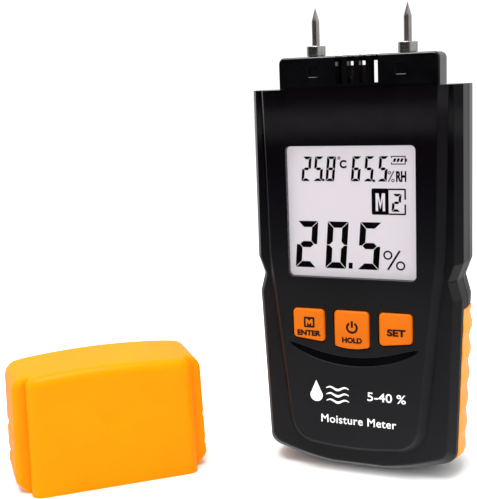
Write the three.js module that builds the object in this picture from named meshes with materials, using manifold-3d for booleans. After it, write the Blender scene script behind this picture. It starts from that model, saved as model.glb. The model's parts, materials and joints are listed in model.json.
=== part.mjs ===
// Hand-held pin moisture meter with its protective cap standing beside it.
// Millimetres. +Z up, the display faces -Y, the origin is the middle of the flat land under the meter.
import * as THREE from "three";
import { mergeVertices } from "three/addons/utils/BufferGeometryUtils.js";
import Module from "manifold-3d";

const wasm = await Module();
wasm.setup();

// ---- Driving dimensions ----
const BODY_HEIGHT = 123;
const BODY_HALF_WIDTH = 34; // above the waist
const WAIST_TOP_Z = 69.5;
const WAIST_Z = 64;
const WAIST_BOTTOM_Z = 58;
const WAIST_HALF_WIDTH = 32;
const HIP_HALF_WIDTH = 33.6; // just below the waist
const FOOT_HALF_WIDTH = 31.7; // at FOOT_Z
const FOOT_Z = 8;
const FOOT_CORNER_X = 27.5;
const SOLE_RADIUS = 92; // the rounded underside
const LAND_HALF_WIDTH = 9.6; // the flat that the meter stands on
const FRONT_Y = -14.2; // face of the raised panel
const BACK_Y = 14.5;
const PARTING_Y = -1.5;
const GAP = 0.3; // between touching pieces
const WALL = 2.2;
const GRIP_WALL = 4.2; // thicker wall behind the side grips
const TOP_WALL = 2;

const PANEL = {
  topHalfWidth: 27.2,
  shoulderZ: 72,
  shoulderHalfWidth: 26.3,
  footZ: 17,
  footHalfWidth: 20.5,
  bottomZ: 9.2,
  bottomHalfWidth: 14,
  bottomRise: 1,
  bevel: { wide: 2.4, deep: 3.4 },
};
const PANEL_INNER_Y = -12.4;
const PANEL_ROOT_Y = -9; // back of the raised panel's block
const SHOULDER = [
  { y: -7.2, inset: 0.7 },
  { y: -10.6, inset: 2.8 },
]; // the front shell's side walls step in at these levels
const BACK_ROUND = [
  { y: 5, inset: 0, top: 0 },
  { y: 10, inset: 1.6, top: 0.3 },
  { y: 13.6, inset: 5, top: 1.4 },
  { y: BACK_Y, inset: 7.5, top: 3 },
]; // the rear shell rounds off through these levels
const THROUGH_PANEL = [-20, -11]; // y range of a cut through the panel
const SMILE = { halfWidth: 20.9, lowest: 37.8, rise: 5.1, width: 2.8, depth: 0.45 };

const WINDOW = { halfWidth: 20.4, bottom: 64.7, top: 105.7, corner: 1.3 };
const LENS_LIP = 2.2; // flange of the lens behind the panel
const LCD_HALF_WIDTH = 22.6;
const LCD_Z = [63, 107.6];
const LCD_Y = [-11.1, -9.6];
const UNDER_LCD_Y = [-9.3, -8.3]; // layer between the display and the board
const BOARD_Y = [-8, -6.6];
const BOARD_Z = [35.5, 115.5];
const BOARD_HALF_WIDTH = 21;
const BOARD_BACK = BOARD_Y[1] + GAP;
const SCREW_POST = { radius: 2.6, rearRadius: 3.4, pilot: 1.3, clearance: 1.4 };
const BOARD_POST = { radius: 1.9, pilot: 1, clearance: 1.05 };

const KEY_FACE_Y = -15;
const KEY_TRAVEL = 0.8;
const KEY_CLEARANCE = 0.35;
const KEY_STEM_RADIUS = 2.4;
const KEY_TOP_Z = 54.4;
const KEY_CORNER = 0.8;
const KEY_CHAMFER = 0.45;
const KEY_FLANGE = 0.9;
const KEYS = {
  enter: { left: -19.2, right: -8.8, bottomLeft: 45, bottomRight: 43.8, sag: 0 },
  power: { left: -5.6, right: 5.6, bottomLeft: 42.8, bottomRight: 42.8, sag: 0.7 },
  set: { left: 8.8, right: 19.2, bottomLeft: 43.8, bottomRight: 45, sag: 0 },
};

const HEAD = { halfWidth: 25.6, front: -4, back: 7.5, top: 132.8, corner: 1.6 };
const HEAD_Y = (HEAD.front + HEAD.back) / 2;
const NECK = { halfWidth: 21, front: -2.5, back: 6 };
const NECK_BOTTOM_Z = 118.4;
const VENT = { pitch: 3.8, slot: 2.05, backSlot: 2.4, floor: 124.2, roof: 131, chamber: [-0.6, 4.1] };
const HEAD_POCKET = { x: 14, halfWidth: 1.7, depth: 0.6, bottom: 126.6, top: 130.1 };
const SOCKET_RADIUS = 2.5;
const SOCKET_BORE = 2.8; // clearance hole for a socket in the head, its nut and its lug
const PIN_X = 14.75;
const PIN_RADIUS = 1.2;
const PIN_TIP_Z = 148;
const PIN_CONE = 4.8;
const COLLAR_RADIUS = 3;
const COLLAR_TOP_Z = 136.1;
const SOCKET_BOTTOM_Z = 112;
const PIN_SEAT_Z = 124; // floor of the hole that a pin stands in

const BATTERY = { halfWidth: 13.25, front: -5, back: 12.5, bottom: 8.7, top: 54.9 };
const BAY = { halfWidth: 13.8, bottom: 8.1, top: 61.3, front: -5.3 };
const DOOR = { halfWidth: 16.3, bottom: 9, top: 61.8, inner: 12.9 };
const DOOR_PIVOT = { y: 13.5, z: 8, radius: 0.9, web: 0.55 };
const DOOR_TAB = [8, 12]; // x range of the right-hand tab
const SEPARATOR = 1.3; // wall round the battery bay
const FAR = 20; // further out than any wall, for cuts that run out of the body

const CASE_SCREWS = [
  [-24, 114.5],
  [24, 114.5],
  [-24, 48],
  [24, 48],
];
const BOARD_SCREWS = [
  [-19, 112],
  [19, 112],
  [-19, 38],
  [19, 38],
];

const GRIP_Z = [6, 54.5];
const GRIP_DEPTH = 2; // how far a grip is let into the body
const GRIP_PITCH = 8.15;
const GRIP_FIRST_PEAK = 15.4;
const GRIP_PEAKS = [0.6, 1]; // height of the lowest and highest ridges

const CAP = {
  place: [-80.4, -32.4],
  yaw: 41,
  crownRadius: 230,
  height: 39.8,
  panel: { bottom: 26.7, top: 26.2, front: 17, back: 11, corner: 1.6 },
  cheek: { bottom: 31.9, top: 31, front: 11.6, back: 11.6, corner: 4.2, foot: 3 },
  wall: 2.2,
  edge: 1.3, // chamfer round the front and back faces
  notch: { heights: [8, 17.7], deep: 0.9, half: 1.7 },
  rib: { x: [26.4, 30.2], y: 3.2, half: 0.6, z: [1.5, 31] },
};

// ---- Solids: three.js geometry joined and cut as manifolds ----
function solidOf(geometry) {
  const bare = geometry.clone();
  bare.deleteAttribute("normal");
  bare.deleteAttribute("uv");
  const merged = mergeVertices(bare, 1e-4);
  return new wasm.Manifold(
    new wasm.Mesh({
      numProp: 3,
      vertProperties: new Float32Array(merged.attributes.position.array),
      triVerts: new Uint32Array(merged.index.array),
    }),
  );
}

function geometryOf(solid) {
  const mesh = solid.getMesh();
  const positions = new Float32Array(mesh.numVert * 3);
  for (let i = 0; i < mesh.numVert; i++) {
    const start = i * mesh.numProp;
    positions.set(mesh.vertProperties.subarray(start, start + 3), i * 3);
  }
  const geometry = new THREE.BufferGeometry();
  geometry.setAttribute("position", new THREE.BufferAttribute(positions, 3));
  geometry.setIndex(new THREE.BufferAttribute(new Uint32Array(mesh.triVerts), 1));
  geometry.computeVertexNormals();
  return geometry;
}

function join(...solids) {
  return solids.reduce((sum, solid) => sum.add(solid));
}

function cut(solid, ...tools) {
  return tools.reduce((rest, tool) => rest.subtract(tool), solid);
}

function box([x0, x1], [y0, y1], [z0, z1]) {
  const geometry = new THREE.BoxGeometry(x1 - x0, y1 - y0, z1 - z0);
  geometry.translate((x0 + x1) / 2, (y0 + y1) / 2, (z0 + z1) / 2);
  return solidOf(geometry);
}

function rodY(x, z, radius, [y0, y1], sides = 16) {
  const geometry = new THREE.CylinderGeometry(radius, radius, y1 - y0, sides);
  geometry.translate(x, (y0 + y1) / 2, z);
  return solidOf(geometry);
}

function rodZ(x, y, radius, [z0, z1], sides = 16) {
  const geometry = new THREE.CylinderGeometry(radius, radius, z1 - z0, sides);
  geometry.rotateX(Math.PI / 2);
  geometry.translate(x, y, (z0 + z1) / 2);
  return solidOf(geometry);
}

function rodX([x0, x1], y, z, radius, sides = 14) {
  const geometry = new THREE.CylinderGeometry(radius, radius, x1 - x0, sides);
  geometry.rotateZ(Math.PI / 2);
  geometry.translate((x0 + x1) / 2, y, z);
  return solidOf(geometry);
}

// A turned piece about the vertical line through (x, y); profile is [radius, z] from bottom to top.
function turned(profile, x, y, sides = 18) {
  const geometry = new THREE.LatheGeometry(points(profile), sides);
  geometry.rotateX(Math.PI / 2);
  geometry.translate(x, y, 0);
  return solidOf(geometry);
}

// A closed skin through outlines of equal point counts. Each outline runs anticlockwise as seen
// from the side that the levels advance towards; place(point, at) puts it in space.
function loft(levels, place) {
  const count = levels[0].outline.length;
  const positions = levels.flatMap(({ outline, at }) => outline.flatMap((p) => place(p, at)));
  const index = [];
  for (let level = 0; level + 1 < levels.length; level++) {
    for (let i = 0; i < count; i++) {
      const a = level * count + i;
      const b = level * count + ((i + 1) % count);
      index.push(a, b, b + count, a, b + count, a + count);
    }
  }
  const lastStart = (levels.length - 1) * count;
  const first = THREE.ShapeUtils.triangulateShape(levels[0].outline, []);
  const last = THREE.ShapeUtils.triangulateShape(levels[levels.length - 1].outline, []);
  first.forEach(([a, b, c]) => index.push(a, c, b));
  last.forEach(([a, b, c]) => index.push(lastStart + a, lastStart + b, lastStart + c));
  const geometry = new THREE.BufferGeometry();
  geometry.setAttribute("position", new THREE.Float32BufferAttribute(positions, 3));
  geometry.setIndex(index);
  return solidOf(geometry);
}

// Levels go from the back to the front; outlines are drawn as seen from the front, x right and z up.
function loftY(...levels) {
  return loft(levels, (p, y) => [p.x, y, p.y]);
}

function plateY(outline, [front, back]) {
  return loftY({ outline, at: back }, { outline, at: front });
}

function points(pairs) {
  return pairs.map(([x, y]) => new THREE.Vector2(x, y));
}

// The right half of an outline, listed from the bottom up, joined to its mirror image.
function symmetric(right) {
  const left = right.map((p) => new THREE.Vector2(-p.x, p.y)).reverse();
  return [...right, ...left];
}

function curve(from, control, to, steps) {
  return new THREE.QuadraticBezierCurve(...points([from, control, to])).getPoints(steps);
}

// A polygon with every corner rounded to about the same radius.
function rounded(corners, radius, steps = 3) {
  return corners.flatMap((corner, i) => {
    const before = corners[(i + corners.length - 1) % corners.length];
    const after = corners[(i + 1) % corners.length];
    const toward = (other) => {
      const step = other.clone().sub(corner);
      return corner.clone().add(step.setLength(Math.min(radius, step.length() * 0.45)));
    };
    const arc = new THREE.QuadraticBezierCurve(toward(before), corner, toward(after));
    return arc.getPoints(steps);
  });
}

function rectangle([x0, x1], [z0, z1], corner = 0) {
  const corners = points([[x0, z0], [x1, z0], [x1, z1], [x0, z1]]);
  return corner > 0 ? rounded(corners, corner) : corners;
}

// ---- The meter's outlines ----
function soleHeight(x) {
  const arc = (at) => SOLE_RADIUS - Math.sqrt(SOLE_RADIUS ** 2 - at ** 2);
  return Math.max(0, arc(x) - arc(LAND_HALF_WIDTH));
}

// Half-width of the body's side below the waist.
function hipWidth(z) {
  const slope = (HIP_HALF_WIDTH - FOOT_HALF_WIDTH) / (WAIST_BOTTOM_Z - FOOT_Z);
  return FOOT_HALF_WIDTH + slope * (z - FOOT_Z);
}

// Body silhouette, pulled in by `inset` above the waist, `lower` below it and `top` at the top.
function bodyOutline(inset, lower = inset, top = 0) {
  const cornerX = FOOT_CORNER_X - lower;
  const sole = [LAND_HALF_WIDTH, 14, 18.5, 23].map(
    (x) => new THREE.Vector2(x * (cornerX / FOOT_CORNER_X), soleHeight(x) + lower),
  );
  const corner = curve(
    [cornerX, soleHeight(FOOT_CORNER_X) + lower],
    [FOOT_HALF_WIDTH - lower, soleHeight(FOOT_HALF_WIDTH) + lower - 0.4],
    [FOOT_HALF_WIDTH + 0.02 - lower, FOOT_Z + lower],
    4,
  );
  const side = points([
    [HIP_HALF_WIDTH - lower, WAIST_BOTTOM_Z],
    [WAIST_HALF_WIDTH - inset, WAIST_Z],
    [BODY_HALF_WIDTH - inset, WAIST_TOP_Z],
    [BODY_HALF_WIDTH - 0.2 - inset, BODY_HEIGHT - top],
  ]);
  return symmetric([...sole, ...corner, ...side]);
}

// Raised front panel, grown by `grow` on its sides and bottom.
function panelOutline(grow, top = 0) {
  const footX = PANEL.footHalfWidth + grow;
  const bottomZ = PANEL.bottomZ - grow;
  const corner = curve(
    [PANEL.bottomHalfWidth, bottomZ + PANEL.bottomRise],
    [footX - 1.2, bottomZ + PANEL.bottomRise * 2],
    [footX, PANEL.footZ],
    5,
  );
  const side = points([
    [PANEL.shoulderHalfWidth + grow, PANEL.shoulderZ],
    [PANEL.topHalfWidth + grow, BODY_HEIGHT - top],
  ]);
  const bottom = points([[7, bottomZ + PANEL.bottomRise * 0.25]]);
  return symmetric([...bottom, ...corner, ...side]);
}

function keyCorners({ left, right, bottomLeft, bottomRight, sag }) {
  const bottom = [[left, bottomLeft], ...(sag ? [[0, bottomLeft - sag]] : []), [right, bottomRight]];
  return points([...bottom, [right, KEY_TOP_Z], [left, KEY_TOP_Z]]);
}

// Key outline grown evenly about its centre.
function keyOutline(key, grow) {
  const centre = keyCentre(key);
  const grown = keyCorners(key).map(
    (p) =>
      new THREE.Vector2(
        p.x + Math.sign(p.x - centre.x) * grow,
        p.y + Math.sign(p.y - centre.y) * grow,
      ),
  );
  return rounded(grown, KEY_CORNER + Math.max(0, grow), 2);
}

function keyCentre({ left, right, bottomLeft, bottomRight }) {
  const bottom = (bottomLeft + bottomRight) / 2;
  return new THREE.Vector2((left + right) / 2, (bottom + KEY_TOP_Z) / 2);
}

// The shallow smile-shaped groove under the keys: a band along a parabola, drawn in at both ends.
function smileOutline() {
  const steps = 20;
  const low = [];
  const high = [];
  for (let i = 0; i <= steps; i += 1) {
    const along = (2 * i) / steps - 1;
    const x = SMILE.halfWidth * along;
    const middle = SMILE.lowest + SMILE.rise * along ** 2;
    const half = (SMILE.width / 2) * Math.sqrt(1 - along ** 4);
    low.push(new THREE.Vector2(x, middle - half));
    if (half > 0) high.unshift(new THREE.Vector2(x, middle + half));
  }
  return [...low, ...high];
}

// ---- Grips ----
function ridge(z, share) {
  const along = (z - GRIP_FIRST_PEAK) / GRIP_PITCH;
  const peak = THREE.MathUtils.lerp(GRIP_PEAKS[0], GRIP_PEAKS[1], along / 4);
  const wave = 0.5 + 0.5 * Math.cos(2 * Math.PI * along);
  return share * Math.max(0.2, peak) * wave;
}

// Grip outline seen from the front; share scales its ridges and proud moves its outer face.
function gripOutline(side, share, proud) {
  const [bottom, top] = GRIP_Z;
  const steps = 26;
  const outer = Array.from({ length: steps + 1 }, (_, i) => {
    const z = bottom + ((top - bottom) * i) / steps;
    return new THREE.Vector2(hipWidth(z) + proud + ridge(z, share), z);
  });
  const inner = points([
    [hipWidth(top) - GRIP_DEPTH, top],
    [hipWidth(bottom) - GRIP_DEPTH, bottom],
  ]);
  const right = [...outer, ...inner];
  return side > 0 ? right : right.map((p) => new THREE.Vector2(-p.x, p.y)).reverse();
}

function grip(side) {
  return loftY(
    { outline: gripOutline(side, 0.2, -1.6), at: 7.5 },
    { outline: gripOutline(side, 0.8, -0.6), at: 4 },
    { outline: gripOutline(side, 1, -0.1), at: -1 },
    { outline: gripOutline(side, 0.5, -0.3), at: -5 },
  );
}

function gripPocket(side) {
  const [bottom, top] = [GRIP_Z[0] - GAP, GRIP_Z[1] + GAP];
  const inset = GRIP_DEPTH + GAP;
  const corners = [[hipWidth(bottom) - inset, bottom], [40, bottom], [40, top], [hipWidth(top) - inset, top]];
  const right = points(corners);
  const outline = side > 0 ? right : right.map((p) => new THREE.Vector2(-p.x, p.y)).reverse();
  return plateY(outline, [-5.3, 7.8]);
}

// ---- Housing ----
function frontShell() {
  const shoulders = loftY(
    { outline: bodyOutline(0), at: PARTING_Y - GAP / 2 },
    ...SHOULDER.map(({ y, inset }) => ({ outline: bodyOutline(inset), at: y })),
  );
  const panel = loftY(
    { outline: panelOutline(PANEL.bevel.wide), at: PANEL_ROOT_Y },
    { outline: panelOutline(PANEL.bevel.wide), at: FRONT_Y + PANEL.bevel.deep },
    { outline: panelOutline(0), at: FRONT_Y },
  );
  const hollow = join(
    loftY(
      { outline: bodyOutline(WALL, GRIP_WALL, TOP_WALL), at: -1 },
      { outline: bodyOutline(WALL + 0.6, GRIP_WALL + 0.2, TOP_WALL), at: -6.2 },
      { outline: bodyOutline(WALL + 3.4, GRIP_WALL + 2.2, TOP_WALL), at: -8.9 },
    ),
    plateY(panelOutline(-0.4, TOP_WALL), [PANEL_INNER_Y, -8]),
  );
  const posts = [
    ...CASE_SCREWS.map(([x, z]) =>
      rodY(x, z, SCREW_POST.radius, [PANEL_INNER_Y - 0.6, PARTING_Y - 0.6]),
    ),
    ...BOARD_SCREWS.map(([x, z]) =>
      rodY(x, z, BOARD_POST.radius, [PANEL_INNER_Y - 0.6, BOARD_Y[0] - GAP], 12),
    ),
  ];
  const pilots = [
    ...CASE_SCREWS.map(([x, z]) => rodY(x, z, SCREW_POST.pilot, [-10.2, 0], 12)),
    ...BOARD_SCREWS.map(([x, z]) => rodY(x, z, BOARD_POST.pilot, [-12, 0], 10)),
  ];
  const { halfWidth, bottom, top, corner } = WINDOW;
  const window = plateY(rectangle([-halfWidth, halfWidth], [bottom, top], corner), THROUGH_PANEL);
  const keyHoles = Object.values(KEYS).map((key) =>
    plateY(keyOutline(key, KEY_CLEARANCE), THROUGH_PANEL),
  );
  const smile = plateY(smileOutline(), [-FAR, FRONT_Y + SMILE.depth]);
  return cut(
    join(cut(join(shoulders, panel), hollow), ...posts),
    ...pilots,
    window,
    ...keyHoles,
    smile,
    neckOpening(),
    gripPocket(1),
    gripPocket(-1),
  );
}

function neckOpening() {
  const half = NECK.halfWidth + GAP;
  return box([-half, half], [NECK.front - GAP, NECK.back + GAP], [115, BODY_HEIGHT + 5]);
}

function rearShell() {
  const outside = loftY(
    ...BACK_ROUND.toReversed().map(({ y, inset, top }) => ({
      outline: bodyOutline(inset, inset, top),
      at: y,
    })),
    { outline: bodyOutline(0), at: PARTING_Y + GAP / 2 },
  );
  const hollow = loftY(
    { outline: bodyOutline(7.2, 8.4, 4.4), at: BACK_Y - WALL },
    { outline: bodyOutline(3.8, 5.4, 2.6), at: 9.4 },
    { outline: bodyOutline(WALL, GRIP_WALL, TOP_WALL), at: 4.6 },
    { outline: bodyOutline(WALL, GRIP_WALL, TOP_WALL), at: -3 },
  );
  const bayOuter = join(
    box(
      [-BAY.halfWidth - SEPARATOR, BAY.halfWidth + SEPARATOR],
      [BAY.front - 1, BACK_Y - 1.9],
      [BAY.bottom - SEPARATOR, BAY.top + SEPARATOR],
    ),
    box([-18, 18], [10.6, BACK_Y - 1.9], [BAY.bottom - SEPARATOR, BAY.top + 2.2]),
  );
  const bayInner = box([-BAY.halfWidth, BAY.halfWidth], [BAY.front, FAR], [BAY.bottom + GAP, BAY.top]);
  const posts = CASE_SCREWS.map(([x, z]) =>
    rodY(x, z, SCREW_POST.rearRadius, [PARTING_Y + 0.2, BACK_Y - 1.6]),
  );
  const screwHoles = CASE_SCREWS.flatMap(([x, z]) => [
    rodY(x, z, SCREW_POST.clearance, [-5, FAR], 12),
    rodY(x, z, 2.4, [4, FAR]),
  ]);
  const doorSeat = box(
    [-DOOR.halfWidth - GAP, DOOR.halfWidth + GAP],
    [DOOR.inner - GAP, FAR],
    [DOOR.bottom - GAP, DOOR.top + GAP],
  );
  const swingRelief = box(
    [-DOOR.halfWidth - GAP, DOOR.halfWidth + GAP],
    [BACK_Y - 0.45, FAR],
    [DOOR_PIVOT.z - 0.4, DOOR.bottom],
  );
  const [tabStart, tabEnd] = [DOOR_TAB[0] - 0.4, DOOR_TAB[1] + 0.4];
  const tabSlots = [-1, 1].map((side) =>
    box(side > 0 ? [tabStart, tabEnd] : [-tabEnd, -tabStart], [12.2, FAR], [6.7, DOOR.bottom]),
  );
  const leadNotch = box([-4.6, 4.6], [BAY.front - 3, BAY.front + 1], [56.5, BAY.top]);
  return cut(
    join(cut(outside, hollow), bayOuter, ...posts),
    bayInner,
    ...screwHoles,
    doorSeat,
    swingRelief,
    ...tabSlots,
    leadNotch,
    neckOpening(),
    gripPocket(1),
    gripPocket(-1),
  );
}

function batteryDoor() {
  const { halfWidth, bottom, top, inner } = DOOR;
  const plate = plateY(rectangle([-halfWidth, halfWidth], [bottom, top], 1), [inner, BACK_Y]);
  const tabs = [-1, 1].flatMap((side) => {
    const span = side > 0 ? DOOR_TAB : [-DOOR_TAB[1], -DOOR_TAB[0]];
    const { y, z, radius, web } = DOOR_PIVOT;
    return [rodX(span, y, z, radius, 20), box(span, [y - web, y + web], [z, bottom + 1])];
  });
  const thumbGrooves = [0, 1, 2].map((i) =>
    box([-6 + i, 6 - i], [BACK_Y - 0.5, FAR], [57.6 - i * 2, 58.6 - i * 2]),
  );
  return cut(join(plate, ...tabs), ...thumbGrooves);
}

function caseScrew([x, z]) {
  const shank = rodY(x, z, 1, [-9.6, 4.5], 10);
  const head = rodY(x, z, 2.05, [4.3, 6]);
  const slots = [0, 1].map((turn) => {
    const [half, thin] = turn ? [1.3, 0.3] : [0.3, 1.3];
    return box([x - half, x + half], [5.2, 7], [z - thin, z + thin]);
  });
  return cut(join(shank, head), ...slots);
}

function boardScrew([x, z]) {
  const shank = rodY(x, z, 0.7, [-11.4, BOARD_BACK + 0.1], 8);
  const head = rodY(x, z, 1.5, [BOARD_BACK, BOARD_BACK + 1.1], 12);
  const slot = box([x - 1, x + 1], [BOARD_BACK + 0.6, 0], [z - 0.25, z + 0.25]);
  return cut(join(shank, head), slot);
}

// ---- Display ----
function displayWindow() {
  const { halfWidth, bottom, top, corner } = WINDOW;
  const half = halfWidth - GAP;
  const boss = plateY(
    rectangle([-half, half], [bottom + GAP, top - GAP], corner),
    [FRONT_Y + 0.4, PANEL_INNER_Y + 0.5],
  );
  const lip = halfWidth + LENS_LIP;
  const flange = plateY(
    rectangle([-lip, lip], [bottom - LENS_LIP, top + LENS_LIP]),
    [PANEL_INNER_Y + GAP, LCD_Y[0] - GAP],
  );
  return join(boss, flange);
}

function lcdFrame() {
  const outer = box([-24.2, 24.2], [LCD_Y[0], BOARD_Y[0] - GAP], [LCD_Z[0] - 1.6, LCD_Z[1] + 1.6]);
  const inner = box(
    [-LCD_HALF_WIDTH - GAP, LCD_HALF_WIDTH + GAP],
    [-FAR, 0],
    [LCD_Z[0] - GAP, LCD_Z[1] + GAP],
  );
  return cut(outer, inner);
}

function lcdPanel() {
  return plateY(rectangle([-LCD_HALF_WIDTH, LCD_HALF_WIDTH], LCD_Z), LCD_Y);
}

function lightGuide() {
  return plateY(rectangle([-22.4, 22.4], [66.4, LCD_Z[1]]), UNDER_LCD_Y);
}

function zebraConnector() {
  return plateY(rectangle([-20, 20], [LCD_Z[0] + 0.2, 65.8]), UNDER_LCD_Y);
}

// ---- Keys ----
function keyPiece(key) {
  const cap = loftY(
    { outline: keyOutline(key, 0), at: -11.5 },
    { outline: keyOutline(key, 0), at: KEY_FACE_Y + KEY_CHAMFER },
    { outline: keyOutline(key, -KEY_CHAMFER), at: KEY_FACE_Y },
  );
  const flange = plateY(keyOutline(key, KEY_FLANGE), [-11.9, -11.2]);
  const centre = keyCentre(key);
  const stem = rodY(centre.x, centre.y, KEY_STEM_RADIUS, [-11.5, -9.5]);
  return join(cap, flange, stem);
}

function keyPill(key) {
  const centre = keyCentre(key);
  return rodY(centre.x, centre.y, 2, [-9.2, BOARD_Y[0] - KEY_TRAVEL - 0.1], 14);
}

function keypadMat() {
  const sheet = plateY(rectangle([-20.3, 20.3], [41.5, 57.5], 1), UNDER_LCD_Y);
  const holes = Object.values(KEYS).map((key) => {
    const centre = keyCentre(key);
    return rodY(centre.x, centre.y, KEY_STEM_RADIUS + 0.6, [-FAR, 0], 18);
  });
  return cut(sheet, ...holes);
}

// ---- Board and what is on it ----
function mainBoard() {
  const board = plateY(rectangle([-BOARD_HALF_WIDTH, BOARD_HALF_WIDTH], BOARD_Z), BOARD_Y);
  return cut(board, ...BOARD_SCREWS.map(([x, z]) => rodY(x, z, BOARD_POST.clearance, [-FAR, 0], 12)));
}

function controllerChip() {
  return box([-4, 8], [BOARD_BACK, BOARD_BACK + 1.4], [76, 88]);
}

function quartzCan() {
  return plateY(rectangle([-13.5, -6.5], [70, 74], 1.6), [BOARD_BACK, BOARD_BACK + 3.4]);
}

function buzzer() {
  return cut(
    rodY(-10, 98, 6, [BOARD_BACK, BOARD_BACK + 6.5], 24),
    rodY(-10, 98, 1, [BOARD_BACK + 5, 9], 10),
  );
}

function capacitor() {
  return rodZ(14, BOARD_BACK + 2.6, 2.5, [86, 97]);
}

// ---- Sensor head ----
function headOutline() {
  const { halfWidth, top, corner } = HEAD;
  const right = [
    new THREE.Vector2(halfWidth, BODY_HEIGHT + GAP),
    ...curve([halfWidth, top - corner], [halfWidth, top], [halfWidth - corner, top], 4),
  ];
  return symmetric(right);
}

// The vent slots are staggered: three behind the chamber stand between the four in front of it,
// which also run through its roof.
function sensorHead() {
  const block = plateY(headOutline(), [HEAD.front, HEAD.back]);
  const neck = box([-NECK.halfWidth, NECK.halfWidth], [NECK.front, NECK.back], [NECK_BOTTOM_Z, 124]);
  const flange = box([-23.5, 23.5], [HEAD.front, 6.9], [NECK_BOTTOM_Z, BODY_HEIGHT - TOP_WALL - GAP]);
  const slot = (step, width, y, top) => {
    const x = step * VENT.pitch;
    return box([x - width / 2, x + width / 2], y, [VENT.floor, top]);
  };
  const frontSlots = [-1.5, -0.5, 0.5, 1.5].map((step) =>
    slot(step, VENT.slot, [-FAR, VENT.chamber[1] - 1], 140),
  );
  const backSlots = [-1, 0, 1].map((step) =>
    slot(step, VENT.backSlot, [VENT.chamber[0] + 1, FAR], VENT.roof),
  );
  const half = 1.5 * VENT.pitch + VENT.slot / 2;
  const chamber = box([-half, half], VENT.chamber, [VENT.floor, VENT.roof]);
  const boardSlot = box([-6.6, 3.8], [0.9, 2.5], [110, 130]);
  const bores = [-PIN_X, PIN_X].map((x) => rodZ(x, HEAD_Y, SOCKET_BORE, [110, 140]));
  const pockets = [-HEAD_POCKET.x, HEAD_POCKET.x].map((x) =>
    box(
      [x - HEAD_POCKET.halfWidth, x + HEAD_POCKET.halfWidth],
      [-FAR, HEAD.front + HEAD_POCKET.depth],
      [HEAD_POCKET.bottom, HEAD_POCKET.top],
    ),
  );
  return cut(
    join(block, neck, flange),
    ...frontSlots,
    ...backSlots,
    chamber,
    boardSlot,
    ...bores,
    ...pockets,
  );
}

function pinSocket(x) {
  const profile = [
    [0, SOCKET_BOTTOM_Z],
    [SOCKET_RADIUS, SOCKET_BOTTOM_Z],
    [SOCKET_RADIUS, HEAD.top + GAP],
    [COLLAR_RADIUS, HEAD.top + GAP],
    [COLLAR_RADIUS, COLLAR_TOP_Z - 0.3],
    [COLLAR_RADIUS - 0.3, COLLAR_TOP_Z],
    [PIN_RADIUS + GAP, COLLAR_TOP_Z],
    [PIN_RADIUS + GAP, PIN_SEAT_Z],
    [0, PIN_SEAT_Z],
  ];
  return turned(profile, x, HEAD_Y, 24);
}

function pin(x) {
  const profile = [
    [0, PIN_SEAT_Z + GAP],
    [PIN_RADIUS, PIN_SEAT_Z + GAP],
    [PIN_RADIUS, PIN_TIP_Z - PIN_CONE],
    [0.12, PIN_TIP_Z - 0.15],
    [0, PIN_TIP_Z],
  ];
  return turned(profile, x, HEAD_Y, 20);
}

function pinNut(x) {
  return cut(rodZ(x, HEAD_Y, 4, [114.8, 117.3], 6), rodZ(x, HEAD_Y, SOCKET_BORE, [110, 120]));
}

function contactLug(x) {
  const ring = join(
    rodZ(x, HEAD_Y, 4.2, [113.8, 114.5], 20),
    box([x - 1.4, x + 1.4], [HEAD_Y - 7, HEAD_Y], [113.8, 114.5]),
  );
  return cut(ring, rodZ(x, HEAD_Y, SOCKET_BORE, [110, 120]));
}

// A round wire through [x, y, z] points.
function wire(route, radius) {
  const path = new THREE.CatmullRomCurve3(route.map((p) => new THREE.Vector3(...p)));
  const section = new THREE.Shape(
    Array.from({ length: 8 }, (_, i) => {
      const angle = (i * Math.PI) / 4;
      return new THREE.Vector2(radius * Math.cos(angle), radius * Math.sin(angle));
    }),
  );
  return solidOf(new THREE.ExtrudeGeometry(section, { steps: 12, extrudePath: path }));
}

function pinLead(side) {
  const x = side * PIN_X;
  return wire([[x, -4.4, 113.3], [x, -4.6, 111], [x - side, -5.3, 108.6], [x - side * 1.6, -5.7, 107]], 0.55);
}

function humidityBoard() {
  return box([-6.3, 3.5], [1.2, 2.2], [110.5, 129.7]);
}

function humiditySensor() {
  return box([-2.6, 0.4], [-0.2, 0.9], [125.6, 128.6]);
}

function sensorCable() {
  const upper = [[1.4, 110.2], [1.4, 108.7], [-6.2, 103.2]];
  const lower = [[-6.2, 102.3], [2, 108.3], [2, 110.2]];
  const shape = new THREE.Shape(points([...upper, ...lower]));
  const geometry = new THREE.ExtrudeGeometry(shape, { depth: 7, bevelEnabled: false });
  const alongX = new THREE.Matrix4().set(0, 0, 1, 0, 1, 0, 0, 0, 0, 1, 0, 0, 0, 0, 0, 1);
  geometry.applyMatrix4(alongX);
  geometry.translate(-5, 0, 0);
  return solidOf(geometry);
}

// ---- Battery ----
const STUDS = [
  { x: -6.35, radius: 2.9 },
  { x: 6.35, radius: 3.9 },
];
const STUD_Y = (BATTERY.front + BATTERY.back) / 2;

function battery() {
  const { halfWidth, front, back, bottom, top } = BATTERY;
  const section = rectangle([-halfWidth, halfWidth], [-back, -front], 2);
  const shape = new THREE.Shape(section);
  const geometry = new THREE.ExtrudeGeometry(shape, { depth: top - bottom, bevelEnabled: false });
  geometry.rotateX(Math.PI);
  geometry.translate(0, 0, top);
  const studs = STUDS.map(({ x, radius }) => rodZ(x, STUD_Y, radius, [top - 0.5, top + 2.7]));
  return join(solidOf(geometry), ...studs);
}

function batterySnap() {
  const top = BATTERY.top;
  const plate = box([-12.6, 12.6], [STUD_Y - 6.2, STUD_Y + 6.2], [top + GAP, top + 4.5]);
  const sockets = STUDS.map(({ x, radius }) => rodZ(x, STUD_Y, radius + 0.4, [top, top + 3.1]));
  return cut(plate, ...sockets);
}

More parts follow.
